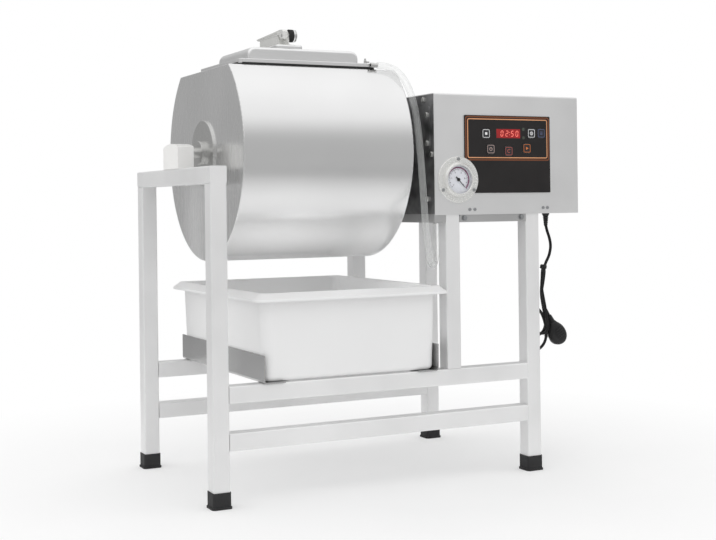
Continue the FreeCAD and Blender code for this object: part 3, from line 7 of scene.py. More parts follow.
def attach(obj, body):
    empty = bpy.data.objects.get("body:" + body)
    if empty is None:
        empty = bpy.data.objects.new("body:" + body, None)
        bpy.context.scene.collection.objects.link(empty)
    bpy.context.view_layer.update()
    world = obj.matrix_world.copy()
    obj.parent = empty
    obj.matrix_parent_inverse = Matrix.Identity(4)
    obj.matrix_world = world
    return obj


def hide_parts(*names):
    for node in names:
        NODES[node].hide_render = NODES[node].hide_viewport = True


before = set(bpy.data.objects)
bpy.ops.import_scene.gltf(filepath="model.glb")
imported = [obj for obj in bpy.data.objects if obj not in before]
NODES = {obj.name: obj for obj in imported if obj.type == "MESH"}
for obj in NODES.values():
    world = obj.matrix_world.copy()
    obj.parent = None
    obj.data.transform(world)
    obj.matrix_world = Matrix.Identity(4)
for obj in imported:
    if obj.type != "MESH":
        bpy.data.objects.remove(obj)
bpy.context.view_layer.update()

# Places are written in millimetres from the left front leg's outer corner. The function
# "at" turns them into metres in the part's own frame.
MIDDLE_X, MIDDLE_Y = 376.35, 209.0
BOX_FRONT_Y = -2.0
PANEL_THICK, KEY_RISE = 1.6, 0.5
PANEL_Y = BOX_FRONT_Y - PANEL_THICK
KEY_Y = PANEL_Y - KEY_RISE
INK = 0.12
CORNER_STEPS = 5


def at(x, y, z):
    return Vector(((x - MIDDLE_X) / 1000, (y - MIDDLE_Y) / 1000, z / 1000))


# Camera, solved from the photograph: place in metres, angles in radians, lens in millimetres

CAMERA_PLACE = (-1.10805, -2.2264, 0.5124)
CAMERA_HEADING, CAMERA_ROLL = 0.4638, -0.0125
CAMERA_LENS, CAMERA_SENSOR = 63.81, 36
CAMERA_SHIFT_UP = -0.0923
CAMERA_SEES_TO = 50


def make_camera():
    ahead = Vector((math.sin(CAMERA_HEADING), math.cos(CAMERA_HEADING), 0))
    level = Vector((math.cos(CAMERA_HEADING), -math.sin(CAMERA_HEADING), 0))
    above = Vector((0, 0, 1))
    right = math.cos(CAMERA_ROLL) * level + math.sin(CAMERA_ROLL) * above
    up = -math.sin(CAMERA_ROLL) * level + math.cos(CAMERA_ROLL) * above
    data = bpy.data.cameras.new("camera")
    data.sensor_width = CAMERA_SENSOR
    data.lens = CAMERA_LENS
    data.shift_y = CAMERA_SHIFT_UP
    data.clip_end = CAMERA_SEES_TO
    camera = bpy.data.objects.new("camera", data)
    bpy.context.collection.objects.link(camera)
    turn = Matrix((right, up, -ahead)).transposed().to_4x4()
    camera.matrix_world = Matrix.Translation(CAMERA_PLACE) @ turn
    bpy.context.scene.camera = camera


make_camera()


# Node materials

# The part of a noise's range that holds nearly all of its values
NOISE_LOW, NOISE_HIGH = 0.3, 0.7


class Look:
    """A material's node tree with short calls for the nodes that the finishes share."""

    def __init__(self, name):
        self.material = bpy.data.materials.new(name)
        self.material.use_nodes = True
        self.tree = self.material.node_tree
        self.shader = self.tree.nodes["Principled BSDF"]

    def node(self, kind, **values):
        made = self.tree.nodes.new(kind)
        for key, value in values.items():
            setattr(made, key, value)
        return made

    def join(self, source, target):
        self.tree.links.new(source, target)

    def space(self, scale):
        place = self.node("ShaderNodeTexCoord")
        mapping = self.node("ShaderNodeMapping")
        mapping.inputs["Scale"].default_value = scale
        self.join(place.outputs["Object"], mapping.inputs["Vector"])
        return mapping.outputs["Vector"]

    def noise(self, scale, detail=3.0, stretch=(1, 1, 1)):
        made = self.node("ShaderNodeTexNoise")
        self.join(self.space(stretch), made.inputs["Vector"])
        made.inputs["Scale"].default_value = scale
        made.inputs["Detail"].default_value = detail
        return made.outputs["Fac"]

    def spread(self, source, low, high, start=NOISE_LOW, stop=NOISE_HIGH):
        made = self.node("ShaderNodeMapRange")
        made.inputs["From Min"].default_value = start
        made.inputs["From Max"].default_value = stop
        made.inputs["To Min"].default_value = low
        made.inputs["To Max"].default_value = high
        self.join(source, made.inputs["Value"])
        return made.outputs["Result"]

    def colours(self, source, first, second):
        made = self.node("ShaderNodeValToRGB")
        made.color_ramp.elements[0].position = NOISE_LOW
        made.color_ramp.elements[0].color = (*first, 1)
        made.color_ramp.elements[1].position = NOISE_HIGH
        made.color_ramp.elements[1].color = (*second, 1)
        self.join(source, made.inputs["Fac"])
        return made.outputs["Color"]

    def multiply(self, first, second):
        made = self.node("ShaderNodeMath", operation="MULTIPLY")
        self.join(first, made.inputs[0])
        self.join(second, made.inputs[1])
        return made.outputs["Value"]

    def bump(self, height, strength, distance):
        made = self.node("ShaderNodeBump")
        made.inputs["Strength"].default_value = strength
        made.inputs["Distance"].default_value = distance
        self.join(height, made.inputs["Height"])
        self.join(made.outputs["Normal"], self.shader.inputs["Normal"])

    def set(self, **values):
        for key, value in values.items():
            self.shader.inputs[key.replace("_", " ")].default_value = value

    def feed(self, name, source):
        self.join(source, self.shader.inputs[name])


def shade(tone, factor):
    return tuple(min(1.0, part * factor) for part in tone)


def grey(level):
    return (level, level, level)


def patchy(look, tone, contrast, scale, detail):
    """Base colour that drifts a little about the tone in soft patches."""
    patches = look.noise(scale, detail)
    dark, pale = shade(tone, 1 - contrast), shade(tone, 1 + contrast)
    look.feed("Base Color", look.colours(patches, dark, pale))


def uneven(look, source, rough, drift):
    """Roughness that drifts with a noise between two parts of its value, up to 1."""
    low, high = (min(1.0, rough * part) for part in drift)
    look.feed("Roughness", look.spread(source, low, high))


# Scale of a sheet's grain, height in metres of the fine relief, and how far the roughness
# drifts about its value
GRAIN_SCALE = 900
STEEL_RELIEF_HEIGHT, PLASTIC_RELIEF_HEIGHT = 0.0002, 0.0003
STEEL_DRIFT, PLASTIC_DRIFT = (0.9, 1.12), (0.85, 1.15)


def steel(name, tone, rough, stretch, contrast, relief, metal=1.0, patch=7):
    """Ground or rolled sheet: fine lines along one axis and faint cloudy patches."""
    look = Look(name)
    look.set(Metallic=metal)
    grain = look.noise(GRAIN_SCALE, 4, stretch)
    patchy(look, tone, contrast, patch, 2)
    uneven(look, grain, rough, STEEL_DRIFT)
    look.bump(grain, relief, STEEL_RELIEF_HEIGHT)
    return look.material


def plastic(name, tone, rough, grain=700, relief=0.08, contrast=0.06, patch=25, shine=0.5):
    """Moulded, painted or printed surface with a fine skin and faint patches."""
    look = Look(name)
    patchy(look, tone, contrast, patch, 3)
    skin = look.noise(grain, 3)
    uneven(look, skin, rough, PLASTIC_DRIFT)
    look.bump(skin, relief, PLASTIC_RELIEF_HEIGHT)
    look.set(Specular_IOR_Level=shine)
    return look.material


NO_LINES = (1, 1, 1)
ALONG_X, ALONG_Y, ALONG_Z = (0.012, 1, 1), (1, 0.012, 1), (1, 1, 0.012)
TUBE = grey(0.91)

# Tone, roughness, way the grain runs, contrast of the patches, relief of the grain, and
# where they differ from plain steel the metallic part and the scale of the patches.
STEELS = {
    "tube_z": (TUBE, 0.48, ALONG_Z, 0.05, 0.04, 0.55),
    "tube_x": (TUBE, 0.48, ALONG_X, 0.05, 0.04, 0.55),
    "tube_y": (TUBE, 0.48, ALONG_Y, 0.05, 0.04, 0.55),
    "box_sheet": (grey(0.84), 0.45, ALONG_X, 0.05, 0.04, 0.75),
    "tray_sheet": (grey(0.60), 0.34, ALONG_X, 0.05, 0.04, 0.85),
    "guide_sheet": (grey(0.60), 0.24, ALONG_Y, 0.05, 0.04),
    "drum_wall": (grey(0.88), 0.22, ALONG_X, 0.02, 0.012),
    "drum_end": (grey(0.90), 0.26, ALONG_Z, 0.03, 0.0012),
    "lid_sheet": (grey(0.92), 0.32, ALONG_X, 0.03, 0.03, 0.95),
    "turned": ((0.68, 0.68, 0.67), 0.27, NO_LINES, 0.04, 0.003),
    "zinc": ((0.66, 0.66, 0.64), 0.32, NO_LINES, 0.10, 0.05),
    "cast": ((0.42, 0.43, 0.44), 0.55, NO_LINES, 0.12, 0.30),
    "bezel": (grey(0.80), 0.16, NO_LINES, 0.03, 0.02),
    "flange": ((0.82, 0.82, 0.80), 0.26, NO_LINES, 0.02, 0.002, 0.5),
    "dark_plate": ((0.30, 0.30, 0.305), 0.36, NO_LINES, 0.55, 0.06, 0.85, 26),
}

# Tone and roughness, and where they differ from the usual the scale of the skin, its
# relief, the contrast of the patches, their scale and the shine.
PLASTICS = {
    "rubber": ((0.018, 0.018, 0.019), 0.62, 900, 0.25, 0.20),
    "cord": ((0.005, 0.005, 0.0055), 0.36, 900, 0.10, 0.15, 25, 0.35),
    "plug": ((0.007, 0.007, 0.0075), 0.34, 420, 0.35, 0.30, 25, 0.45),
    "gasket": (grey(0.012), 0.70, 900, 0.20, 0.20),
    "nylon": ((0.86, 0.855, 0.84), 0.45, 300, 0.05, 0.02),
    "bin": (grey(0.85), 0.34, 120, 0.03, 0.015, 4),
    "film": ((0.022, 0.020, 0.020), 0.50, 1200, 0.12, 0.10, 25, 0.2),
    "key_film": ((0.028, 0.028, 0.031), 0.46, 1200, 0.12, 0.10, 25, 0.25),
    "print_orange": ((0.62, 0.17, 0.035), 0.5),
    "print_rust": ((0.17, 0.047, 0.012), 0.5),
    "print_peach": ((0.74, 0.34, 0.16), 0.5),
    "print_white": (grey(0.80), 0.5),
    "print_blue": ((0.10, 0.12, 0.22), 0.5),
    "print_brown": ((0.45, 0.33, 0.30), 0.5),
    "print_red": ((0.42, 0.10, 0.08), 0.5),
    "print_black": (grey(0.02), 0.6),
    "print_purple": ((0.22, 0.07, 0.15), 0.6),
    "board": ((0.04, 0.16, 0.08), 0.45, 500, 0.2, 0.3),
    "lamp": ((0.06, 0.07, 0.055), 0.25, 300, 0.05, 0.2),
    "dial": ((0.78, 0.79, 0.84), 0.55, 900, 0.03, 0.02),
    "needle": ((0.02, 0.02, 0.022), 0.45),
}

LOOKS = {name: steel(name, *values) for name, values in STEELS.items()}
LOOKS.update({name: plastic(name, *values) for name, values in PLASTICS.items()})


def make_display_look():
    look = Look("display")
    patches = look.noise(60, 2)
    look.feed("Base Color", look.colours(patches, (0.22, 0.010, 0.012), (0.34, 0.016, 0.016)))
    look.feed("Roughness", look.spread(look.noise(800), 0.10, 0.16))
    look.feed("Emission Color", look.colours(patches, (0.35, 0.010, 0.010), (0.6, 0.020, 0.020)))
    look.set(Emission_Strength=0.14)
    return look.material


def make_segment_look():
    look = Look("segments")
    patches = look.noise(400, 2)
    look.feed("Base Color", look.colours(patches, (0.9, 0.10, 0.06), (1.0, 0.16, 0.10)))
    look.feed("Emission Color", look.colours(patches, (1.0, 0.30, 0.26), (1.0, 0.40, 0.36)))
    look.set(Emission_Strength=0.45)
    return look.material


def make_glass_look():
    look = Look("glass")
    look.feed("Roughness", look.spread(look.noise(300), 0.01, 0.03))
    look.feed("Base Color", look.colours(look.noise(20), (0.97, 0.98, 0.98), (1, 1, 1)))
    look.set(Transmission_Weight=1.0, IOR=1.1, Alpha=0.35)
    return look.material


def make_hose_look(name, core, rim):
    """Clear soft tube: see-through in the middle, paler where the wall is seen edge on."""
    look = Look(name)
    patches = look.noise(18, 3)
    look.feed("Base Color", look.colours(patches, (0.80, 0.82, 0.81), (0.92, 0.93, 0.92)))
    look.feed("Roughness", look.spread(look.noise(90), 0.10, 0.20))
    weight = look.node("ShaderNodeLayerWeight")
    look.feed("Alpha", look.spread(weight.outputs["Facing"], core, rim, 0.45, 0.98))
    look.set(IOR=1.45, Specular_IOR_Level=0.8)
    return look.material


LOOKS["display"] = make_display_look()
LOOKS["segments"] = make_segment_look()
LOOKS["glass"] = make_glass_look()
LOOKS["hose"] = make_hose_look("hose", 0.12, 0.85)
LOOKS["hose_bore"] = make_hose_look("hose_bore", 0.03, 0.70)

NODE_LOOKS = {
    "legs_left": "tube_z", "legs_right": "tube_z", "box_posts": "tube_z",
    "upper_rails": "tube_x", "lower_rails": "tube_x", "crossbar_left": "tube_y",
    "rubber_feet": "rubber", "bin_guide_left": "guide_sheet", "bin_guide_right": "guide_sheet",
    "base_tray": "tray_sheet", "bearing_block": "nylon", "box_cover": "box_sheet",
    "drive_plate": "dark_plate", "panel_screws": "cast", "plate_bolts": "zinc",
    "key_panel": "film", "key_stop": "key_film", "key_vacuum": "key_film",
    "key_mode": "key_film", "key_timer": "key_film", "key_reverse": "key_film",
    "key_start": "key_film", "display_window": "display", "indicator_lamps": "lamp",
    "control_board": "board", "gauge_case": "flange", "gauge_glass": "glass",
    "gauge_dial": "dial", "gauge_needle": "needle", "gear_case": "cast", "motor_case": "cast",
    "motor_rotor": "turned", "flange_bearing": "cast", "vacuum_pump": "cast",
    "hose_fitting": "turned", "vacuum_hose": "hose", "cord_sleeve": "rubber",
    "mains_lead": "rubber", "lead_hank": "rubber", "lead_tail": "rubber",
    "mains_plug": "rubber", "drum_shell": "drum_wall", "drum_end_left": "drum_end",
    "drum_end_right": "drum_end", "hatch_frame": "drum_wall", "stub_shaft": "turned",
    "drive_shaft": "turned", "drum_baffles": "drum_wall", "hinge_leaves": "turned",
    "hinge_pins": "turned", "lid_cover": "lid_sheet", "lid_gasket": "gasket",
    "clamp_block": "flange", "clamp_pin": "turned", "clamp_lever": "flange",
    "clamp_roller": "bezel", "lid_nozzle": "turned", "air_valve": "turned", "bin": "bin",
}

for label, look in NODE_LOOKS.items():
    slots = NODES[label].material_slots
    if not slots:
        NODES[label].data.materials.append(LOOKS[look])
    for slot in slots:
        slot.material = LOOKS[look]


# Pieces

def piece(name, bm, look, body, smooth=False):
    """A mesh piece from a bmesh, riding on a body with its finish slot named."""
    mesh = bpy.data.meshes.new(name)
    bmesh.ops.recalc_face_normals(bm, faces=bm.faces)
    bm.to_mesh(mesh)
    bm.free()
    for polygon in mesh.polygons:
        polygon.use_smooth = smooth
    mesh.materials.append(LOOKS[look])
    made = bpy.data.objects.new(name, mesh)
    bpy.context.collection.objects.link(made)
    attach(made, body)
    return made


def print_levels(bm, outline, y):
    """The points of an outline of (x, z) on a face at y, and again one ink in front of it."""
    return [[bm.verts.new(at(x, level, z)) for x, z in outline] for level in (y, y - INK)]


def join_lines(bm, first, second):
    """Faces between two closed lines with as many points each."""
    for i in range(len(first)):
        j = (i + 1) % len(first)
        bm.faces.new((first[i], first[j], second[j], second[i]))


def slab(bm, outline, y):
    """A flat print on a face at y, from a closed outline of (x, z)."""
    back, front = print_levels(bm, outline, y)
    bm.faces.new(front)
    bm.faces.new(list(reversed(back)))
    join_lines(bm, back, front)


def closed_band(bm, rings):
    """Faces of a closed band from its rings: outer low, outer top, inner low, inner top."""
    outer_low, outer_top, inner_low, inner_top = rings
    for i in range(len(outer_low)):
        j = (i + 1) % len(outer_low)
        bm.faces.new((outer_top[i], outer_top[j], inner_top[j], inner_top[i]))
        bm.faces.new((outer_low[i], outer_low[j], outer_top[j], outer_top[i]))
        bm.faces.new((inner_low[j], inner_low[i], inner_top[i], inner_top[j]))
        bm.faces.new((outer_low[j], outer_low[i], inner_low[i], inner_low[j]))


def strip(bm, outer, inner, y):
    """A printed band on a face at y between two outlines with as many points each."""
    closed_band(bm, print_levels(bm, outer, y) + print_levels(bm, inner, y))


def rounded(x0, z0, x1, z1, radius):
    """The outline of a box with round corners."""
    points = []
    corners = ((x0 + radius, z0 + radius, 180), (x1 - radius, z0 + radius, 270),
               (x1 - radius, z1 - radius, 0), (x0 + radius, z1 - radius, 90))
    for x, z, start in corners:
        for step in range(CORNER_STEPS + 1):
            turn = math.radians(start + 90 * step / CORNER_STEPS)
            points.append((x + radius * math.cos(turn), z + radius * math.sin(turn)))
    return points


def ring(bm, x0, z0, x1, z1, radius, width, y):
    """A printed line of some width round a box with round corners."""
    inner = rounded(x0 + width, z0 + width, x1 - width, z1 - width, radius - width)
    strip(bm, rounded(x0, z0, x1, z1, radius), inner, y)


def arc_band(bm, x, z, inner, outer, start, stop, y, steps):
    """Part of a ring between two angles in degrees."""
    turns = [math.radians(start + (stop - start) * i / steps) for i in range(steps + 1)]
    outline = [(x + outer * math.cos(t), z + outer * math.sin(t)) for t in turns]
    outline += [(x + inner * math.cos(t), z + inner * math.sin(t)) for t in reversed(turns)]
    back, front = print_levels(bm, outline, y)
    count = len(outline)
    for i in range(steps):
        quad = (i, i + 1, count - 2 - i, count - 1 - i)
        bm.faces.new([front[k] for k in quad])
        bm.faces.new([back[k] for k in reversed(quad)])
    join_lines(bm, back, front)


def bar(bm, x, z, angle, start, stop, width, y):
    """A short straight mark that points away from a middle."""
    turn = math.radians(angle)
    along = Vector((math.cos(turn), math.sin(turn)))
    across = Vector((-along.y, along.x))
    outline = []
    for reach, side in ((start, -1), (stop, -1), (stop, 1), (start, 1)):
        spot = Vector((x, z)) + along * reach + across * side * width / 2
        outline.append((spot.x, spot.y))
    slab(bm, outline, y)


# Printed frame on the panel: the outer line's box, how far in the inner line runs, and the
# corner and width of each line
FRAME_BOX = (499.5, 590.5, 687.5, 673.5)
INNER_STEP = 4.6
OUTER_CORNER, OUTER_LINE = 5, 2.6
INNER_CORNER, INNER_LINE = 4, 1.7


def make_panel_print():
    x0, z0, x1, z1 = FRAME_BOX
    bm = bmesh.new()
    ring(bm, x0, z0, x1, z1, OUTER_CORNER, OUTER_LINE, PANEL_Y)
    piece("print_frame", bm, "print_rust", "frame")
    bm = bmesh.new()
    ring(bm, x0 + INNER_STEP, z0 + INNER_STEP, x1 - INNER_STEP, z1 - INNER_STEP,
         INNER_CORNER, INNER_LINE, PANEL_Y)
    piece("print_inner_line", bm, "print_peach", "frame")


# Middle of each key and the ink of its sign
KEYS = {
    "key_stop": (545.0, 641.0, "print_white"),
    "key_vacuum": (646.5, 642.5, "print_white"),
    "key_mode": (669.0, 643.0, "print_blue"),
    "key_timer": (555.0, 612.0, "print_brown"),
    "key_reverse": (595.0, 608.5, "print_red"),
    "key_start": (636.0, 614.0, "print_orange"),
}
KEY_HALF, KEY_CORNER, KEY_LINE = 7.6, 2.2, 0.9

# The parts of each key's sign, from the key's middle. Arcs: inner and outer radius, first
# and last angle, steps. Bars: rise, angle, start, stop, width. Shapes: corners.
ALL_ROUND = 359.9
SIGN_ARCS = {
    "key_vacuum": (2.2, 3.4, 0, ALL_ROUND, 24),
    "key_timer": (2.6, 3.5, 0, ALL_ROUND, 24),
    "key_reverse": (2.4, 3.5, 60, 330, 20),
}
SIGN_BARS = {
    "key_vacuum": ((0, 90, -1.4, 1.4, 0.9),),
    "key_mode": ((-2.4, 0, -3, 3, 1.0), (0, 0, -3, 3, 1.0), (2.4, 0, -3, 3, 1.0)),
    "key_timer": ((0, 90, 0, 2.2, 0.8), (0, 0, 0, 1.8, 0.8)),
}
SIGN_SHAPES = {
    "key_stop": ((-2.4, -2.4), (2.4, -2.4), (2.4, 2.4), (-2.4, 2.4)),
    "key_reverse": ((0.6, 4.6), (0.6, 1.4), (3.8, 3.0)),
    "key_start": ((-2.2, 3.2), (-2.2, -3.2), (3.4, 0)),
}


def key_sign(bm, label, x, z):
    """A plain sign about the key's middle."""
    if label in SIGN_ARCS:
        inner, outer, start, stop, steps = SIGN_ARCS[label]
        arc_band(bm, x, z, inner, outer, start, stop, KEY_Y, steps)
    for rise, angle, start, stop, width in SIGN_BARS.get(label, ()):
        bar(bm, x, z + rise, angle, start, stop, width, KEY_Y)
    if label in SIGN_SHAPES:
        slab(bm, [(x + side, z + rise) for side, rise in SIGN_SHAPES[label]], KEY_Y)


def make_key_prints():
    for label, (x, z, look) in KEYS.items():
        bm = bmesh.new()
        ring(bm, x - KEY_HALF, z - KEY_HALF, x + KEY_HALF, z + KEY_HALF, KEY_CORNER, KEY_LINE,
             KEY_Y)
        key_sign(bm, label, x, z)
        piece("print_" + label, bm, look, label + "_cap")


# Lit bars of each figure, as top, upper right, lower right, bottom, lower left, upper
# left, middle
FIGURES = {"0": "1111110", "2": "1101101", "5": "1011011"}
FIGURE_PLACES = ((578.0, "0"), (589.0, "2"), (601.0, "5"), (611.5, "0"))
FIGURE_Z, FIGURE_WIDE, FIGURE_HALF_HIGH, FIGURE_LEAN = 641.5, 4.6, 4.9, 0.10
# Half a lit bar's width, and the part of it that the bar's tips stay short of the corners
BAR_HALF, BAR_GAP = 0.55, 0.4
COLON_X, COLON_RISE, COLON_HALF = 597.3, 2.2, 0.6


def segment(bm, x, z, run, rise):
    """One slanted bar of a figure from (x, z) over (run, rise)."""
    along = Vector((run, rise)).normalized()
    side = Vector((-along.y, along.x)) * BAR_HALF
    tip = along * BAR_HALF
    start = Vector((x, z)) + tip * BAR_GAP
    stop = Vector((x + run, z + rise)) - tip * BAR_GAP
    outline = [start, start + tip + side, stop - tip + side, stop, stop - tip - side,
               start + tip - side]
    slab(bm, [(p.x + (p.y - FIGURE_Z) * FIGURE_LEAN, p.y) for p in outline], PANEL_Y)


def square(x, z, half):
    return [(x - half, z - half), (x + half, z - half), (x + half, z + half), (x - half, z + half)]


def make_display_figures():
    bm = bmesh.new()
    z, wide, high = FIGURE_Z, FIGURE_WIDE, FIGURE_HALF_HIGH
    for x, figure in FIGURE_PLACES:
        bars = ((x, z + high, wide, 0), (x + wide, z, 0, high), (x + wide, z - high, 0, high),
                (x, z - high, wide, 0), (x, z - high, 0, high), (x, z, 0, high), (x, z, wide, 0))
        for lit, spot in zip(FIGURES[figure], bars):
            if lit == "1":
                segment(bm, *spot)
    for rise in (-COLON_RISE, COLON_RISE):
        slab(bm, square(COLON_X, z + rise, COLON_HALF), PANEL_Y)
    piece("display_figures", bm, "segments", "frame")


make_panel_print()
make_key_prints()
make_display_figures()


# Gauge: the dial's middle and face, then radii in millimetres and angles in degrees

GAUGE_X, GAUGE_Z = 484.0, 555.0
DIAL_Y = -2.3
ARC_INNER, ARC_OUTER, ARC_START, ARC_STOP, ARC_STEPS = 21.2, 23.8, -45, 165, 60
SCALE_START, SCALE_SWEEP = 225, 270
TICKS, TICK_OUTER, LONG_TICK_EVERY = 40, 20.4, 4
# Length and width of a short and a long tick
SHORT_TICK, LONG_TICK = (1.8, 0.5), (3.4, 0.8)
FIGURE_RADIUS, FIGURE_SIZE, DIAL_FIGURES, FIGURE_STEP = 14.2, 4.2, 6, 2
# A figure stands out by this much to both sides of its own plane
FIGURE_RISE = 0.05


def make_dial_print():
    bm = bmesh.new()
    arc_band(bm, GAUGE_X, GAUGE_Z, ARC_INNER, ARC_OUTER, ARC_START, ARC_STOP, DIAL_Y,
             ARC_STEPS)
    piece("dial_arc", bm, "print_purple", "frame")
    bm = bmesh.new()
    for i in range(TICKS + 1):
        angle = SCALE_START - SCALE_SWEEP * i / TICKS
        long, width = SHORT_TICK if i % LONG_TICK_EVERY else LONG_TICK
        bar(bm, GAUGE_X, GAUGE_Z, angle, TICK_OUTER - long, TICK_OUTER, width, DIAL_Y)
    piece("dial_ticks", bm, "print_black", "frame")


def dial_figure(name, words, x, z):
    """A plain figure as a thin mesh facing the front."""
    data = bpy.data.curves.new(name, "FONT")
    data.body = words
    data.size = FIGURE_SIZE / 1000
    data.align_x = "CENTER"
    data.align_y = "CENTER"
    data.extrude = FIGURE_RISE / 1000
    data.resolution_u = 3
    text = bpy.data.objects.new(name, data)
    bpy.context.collection.objects.link(text)
    graph = bpy.context.evaluated_depsgraph_get()
    graph.update()
    mesh = bpy.data.meshes.new_from_object(text.evaluated_get(graph))
    bpy.data.objects.remove(text)
    upright = Matrix.Rotation(math.pi / 2, 4, "X")
    mesh.transform(Matrix.Translation(at(x, DIAL_Y - FIGURE_RISE, z)) @ upright)
    mesh.materials.clear()
    mesh.materials.append(LOOKS["print_black"])
    mesh.name = name
    made = bpy.data.objects.new(name, mesh)
    bpy.context.collection.objects.link(made)
    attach(made, "frame")


def make_dial_figures():
    for step in range(DIAL_FIGURES):
        turn = math.radians(SCALE_START - SCALE_SWEEP * step / (DIAL_FIGURES - 1))
        x = GAUGE_X + FIGURE_RADIUS * math.cos(turn)
        z = GAUGE_Z + FIGURE_RADIUS * math.sin(turn)
        dial_figure("dial_figure_%d" % step, str(step * FIGURE_STEP), x, z)


make_dial_print()
make_dial_figures()


# Hose and mains lead

HOSE_ROUTE = [
    (360.0, 78.0, 769.8), (373.0, 77.5, 769.8), (385.0, 73.5, 766.8), (395.0, 64.0, 758.5),
    (402.0, 51.0, 743.5), (407.8, 38.5, 719.5), (411.3, 27.5, 688.0), (412.3, 16.5, 639.0),
    (411.7, 7.0, 581.0), (411.0, -1.0, 521.0), (411.5, -5.5, 470.0), (418.5, -5.0, 422.3),
    (432.4, 11.2, 397.5), (452.6, 34.8, 397.5), (466.5, 51.0, 422.3), (467.5, 52.0, 453.0),
    (467.5, 52.0, 474.0),
]
HOSE_RADIUS, BORE_RADIUS = 6.1, 3.7


def smooth_curve(name, route, radius, look):
    """A round cord of the frame along one smooth spline."""
    data = bpy.data.curves.new(name, "CURVE")
    data.dimensions = "3D"
    data.bevel_depth = radius / 1000
    data.bevel_resolution = 8
    data.resolution_u = 12
    data.use_fill_caps = True
    spline = data.splines.new("NURBS")
    spline.points.add(len(route) - 1)
    for point, spot in zip(spline.points, route):
        point.co = (*at(*spot), 1)
    spline.order_u = 3
    spline.use_endpoint_u = True
    data.materials.append(LOOKS[look])
    made = bpy.data.objects.new(name, data)
    bpy.context.collection.objects.link(made)
    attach(made, "frame")
    return made


hose = smooth_curve("air_hose", HOSE_ROUTE, HOSE_RADIUS, "hose")
bore = smooth_curve("air_hose_bore", HOSE_ROUTE, BORE_RADIUS, "hose_bore")
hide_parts("vacuum_hose")


LEAD_ROUTE = [
    (711.0, 45.0, 468.0), (713.0, 45.0, 457.0), (719.5, 45.2, 442.0), (723.0, 45.5, 425.0),
    (719.0, 45.8, 406.5), (710.5, 45.0, 394.0), (705.0, 43.5, 383.5), (699.5, 40.0, 371.0),
    (694.5, 38.0, 357.0), (694.8, 37.5, 341.0), (698.5, 37.5, 323.5), (702.0, 37.5, 307.0),
    (704.5, 37.5, 290.5), (707.0, 38.0, 275.0), (708.5, 38.5, 263.5), (703.5, 39.0, 255.5),
    (692.5, 40.0, 255.0), (677.5, 41.0, 257.5), (663.5, 42.0, 264.0), (656.5, 43.0, 278.0),
    (658.5, 44.0, 294.0), (670.0, 45.0, 305.5), (684.5, 46.0, 307.0), (697.5, 46.5, 298.5),
    (705.5, 47.0, 282.5), (710.5, 47.8, 266.0), (712.0, 48.5, 249.0), (708.0, 49.5, 235.0),
    (698.5, 50.3, 225.0), (684.0, 51.0, 220.0), (669.0, 51.5, 222.0), (661.0, 52.0, 233.0),
    (666.0, 52.5, 245.5), (681.5, 53.5, 250.5), (699.0, 54.5, 250.5), (711.0, 56.5, 257.5),
    (717.5, 58.5, 270.0), (716.0, 59.0, 287.0), (712.0, 58.5, 304.5), (708.5, 58.0, 321.0),
    (708.5, 58.0, 337.5), (713.0, 58.5, 354.5), (717.0, 58.5, 380.5), (704.5, 49.5, 382.0),
    (702.5, 48.0, 356.0), (698.5, 45.5, 339.0), (699.0, 45.0, 323.0), (703.5, 44.8, 309.0),
    (708.5, 44.7, 301.0), (712.0, 44.3, 295.2), (715.35, 44.0, 288.6),
]
LEAD_RADIUS = 2.8
PLUG_TIP, PLUG_TURN = (715.35, 44.0, 288.6), math.radians(27)


def loft(bm, start, along, sections, power=2.0, count=32):
    """A closed skin over rings of (distance along the line, half width, half depth).

    A power over 2 makes the rings squarer than an ellipse.
    """
    along = Vector(along).normalized()
    deep = Vector((0, 1, 0)) if abs(along.y) < 0.9 else Vector((0, 0, 1))
    wide = along.cross(deep).normalized()
    deep = wide.cross(along)
    rings = []
    for distance, half, depth in sections:
        line = []
        for i in range(count):
            turn = 2 * math.pi * i / count
            cosine, sine = math.cos(turn), math.sin(turn)
            across = math.copysign(abs(cosine) ** (2 / power), cosine) * half
            inward = math.copysign(abs(sine) ** (2 / power), sine) * depth
            spot = Vector(start) + along * distance + wide * across + deep * inward
            line.append(bm.verts.new(at(*spot)))
        rings.append(line)
    for first, second in zip(rings, rings[1:]):
        join_lines(bm, first, second)
    bm.faces.new(list(reversed(rings[0])))
    bm.faces.new(rings[-1])


# Where a rib ends, and where the cut after it starts and ends, in parts of their pitch
RIB_END, CUT_START, CUT_END = 0.58, 0.62, 0.96


def ribbed(start, stop, thin, count):
    """Sections of a tapering sleeve with cut rings, from one (distance, radius) to another."""
    sections = []
    pitch = (stop[0] - start[0]) / count
    for i in range(count):
        place = start[0] + pitch * i
        radius = start[1] + (stop[1] - start[1]) * i / max(1, count - 1)
        for shift, scale in ((0, 1), (RIB_END, 1), (CUT_START, thin), (CUT_END, thin)):
            sections.append((place + pitch * shift, radius * scale, radius * scale))
    return sections


DOWN = (0, 0, -1)
RELIEF_TOP = (711, 45, 490)
RELIEF_COLLAR = [(0, 6.6, 6.6), (0.4, 7.2, 7.2), (3.0, 7.2, 7.2), (3.4, 6.4, 6.4)]
RELIEF_RIBS = ((3.8, 5.8), (24.5, 3.9), 0.80, 6)
RELIEF_END = [(24.6, 3.7, 3.7), (25.6, 3.3, 3.3)]


def make_strain_relief():
    bm = bmesh.new()
    loft(bm, RELIEF_TOP, DOWN, RELIEF_COLLAR + ribbed(*RELIEF_RIBS) + RELIEF_END)
    return piece("strain_relief", bm, "rubber", "frame", True)


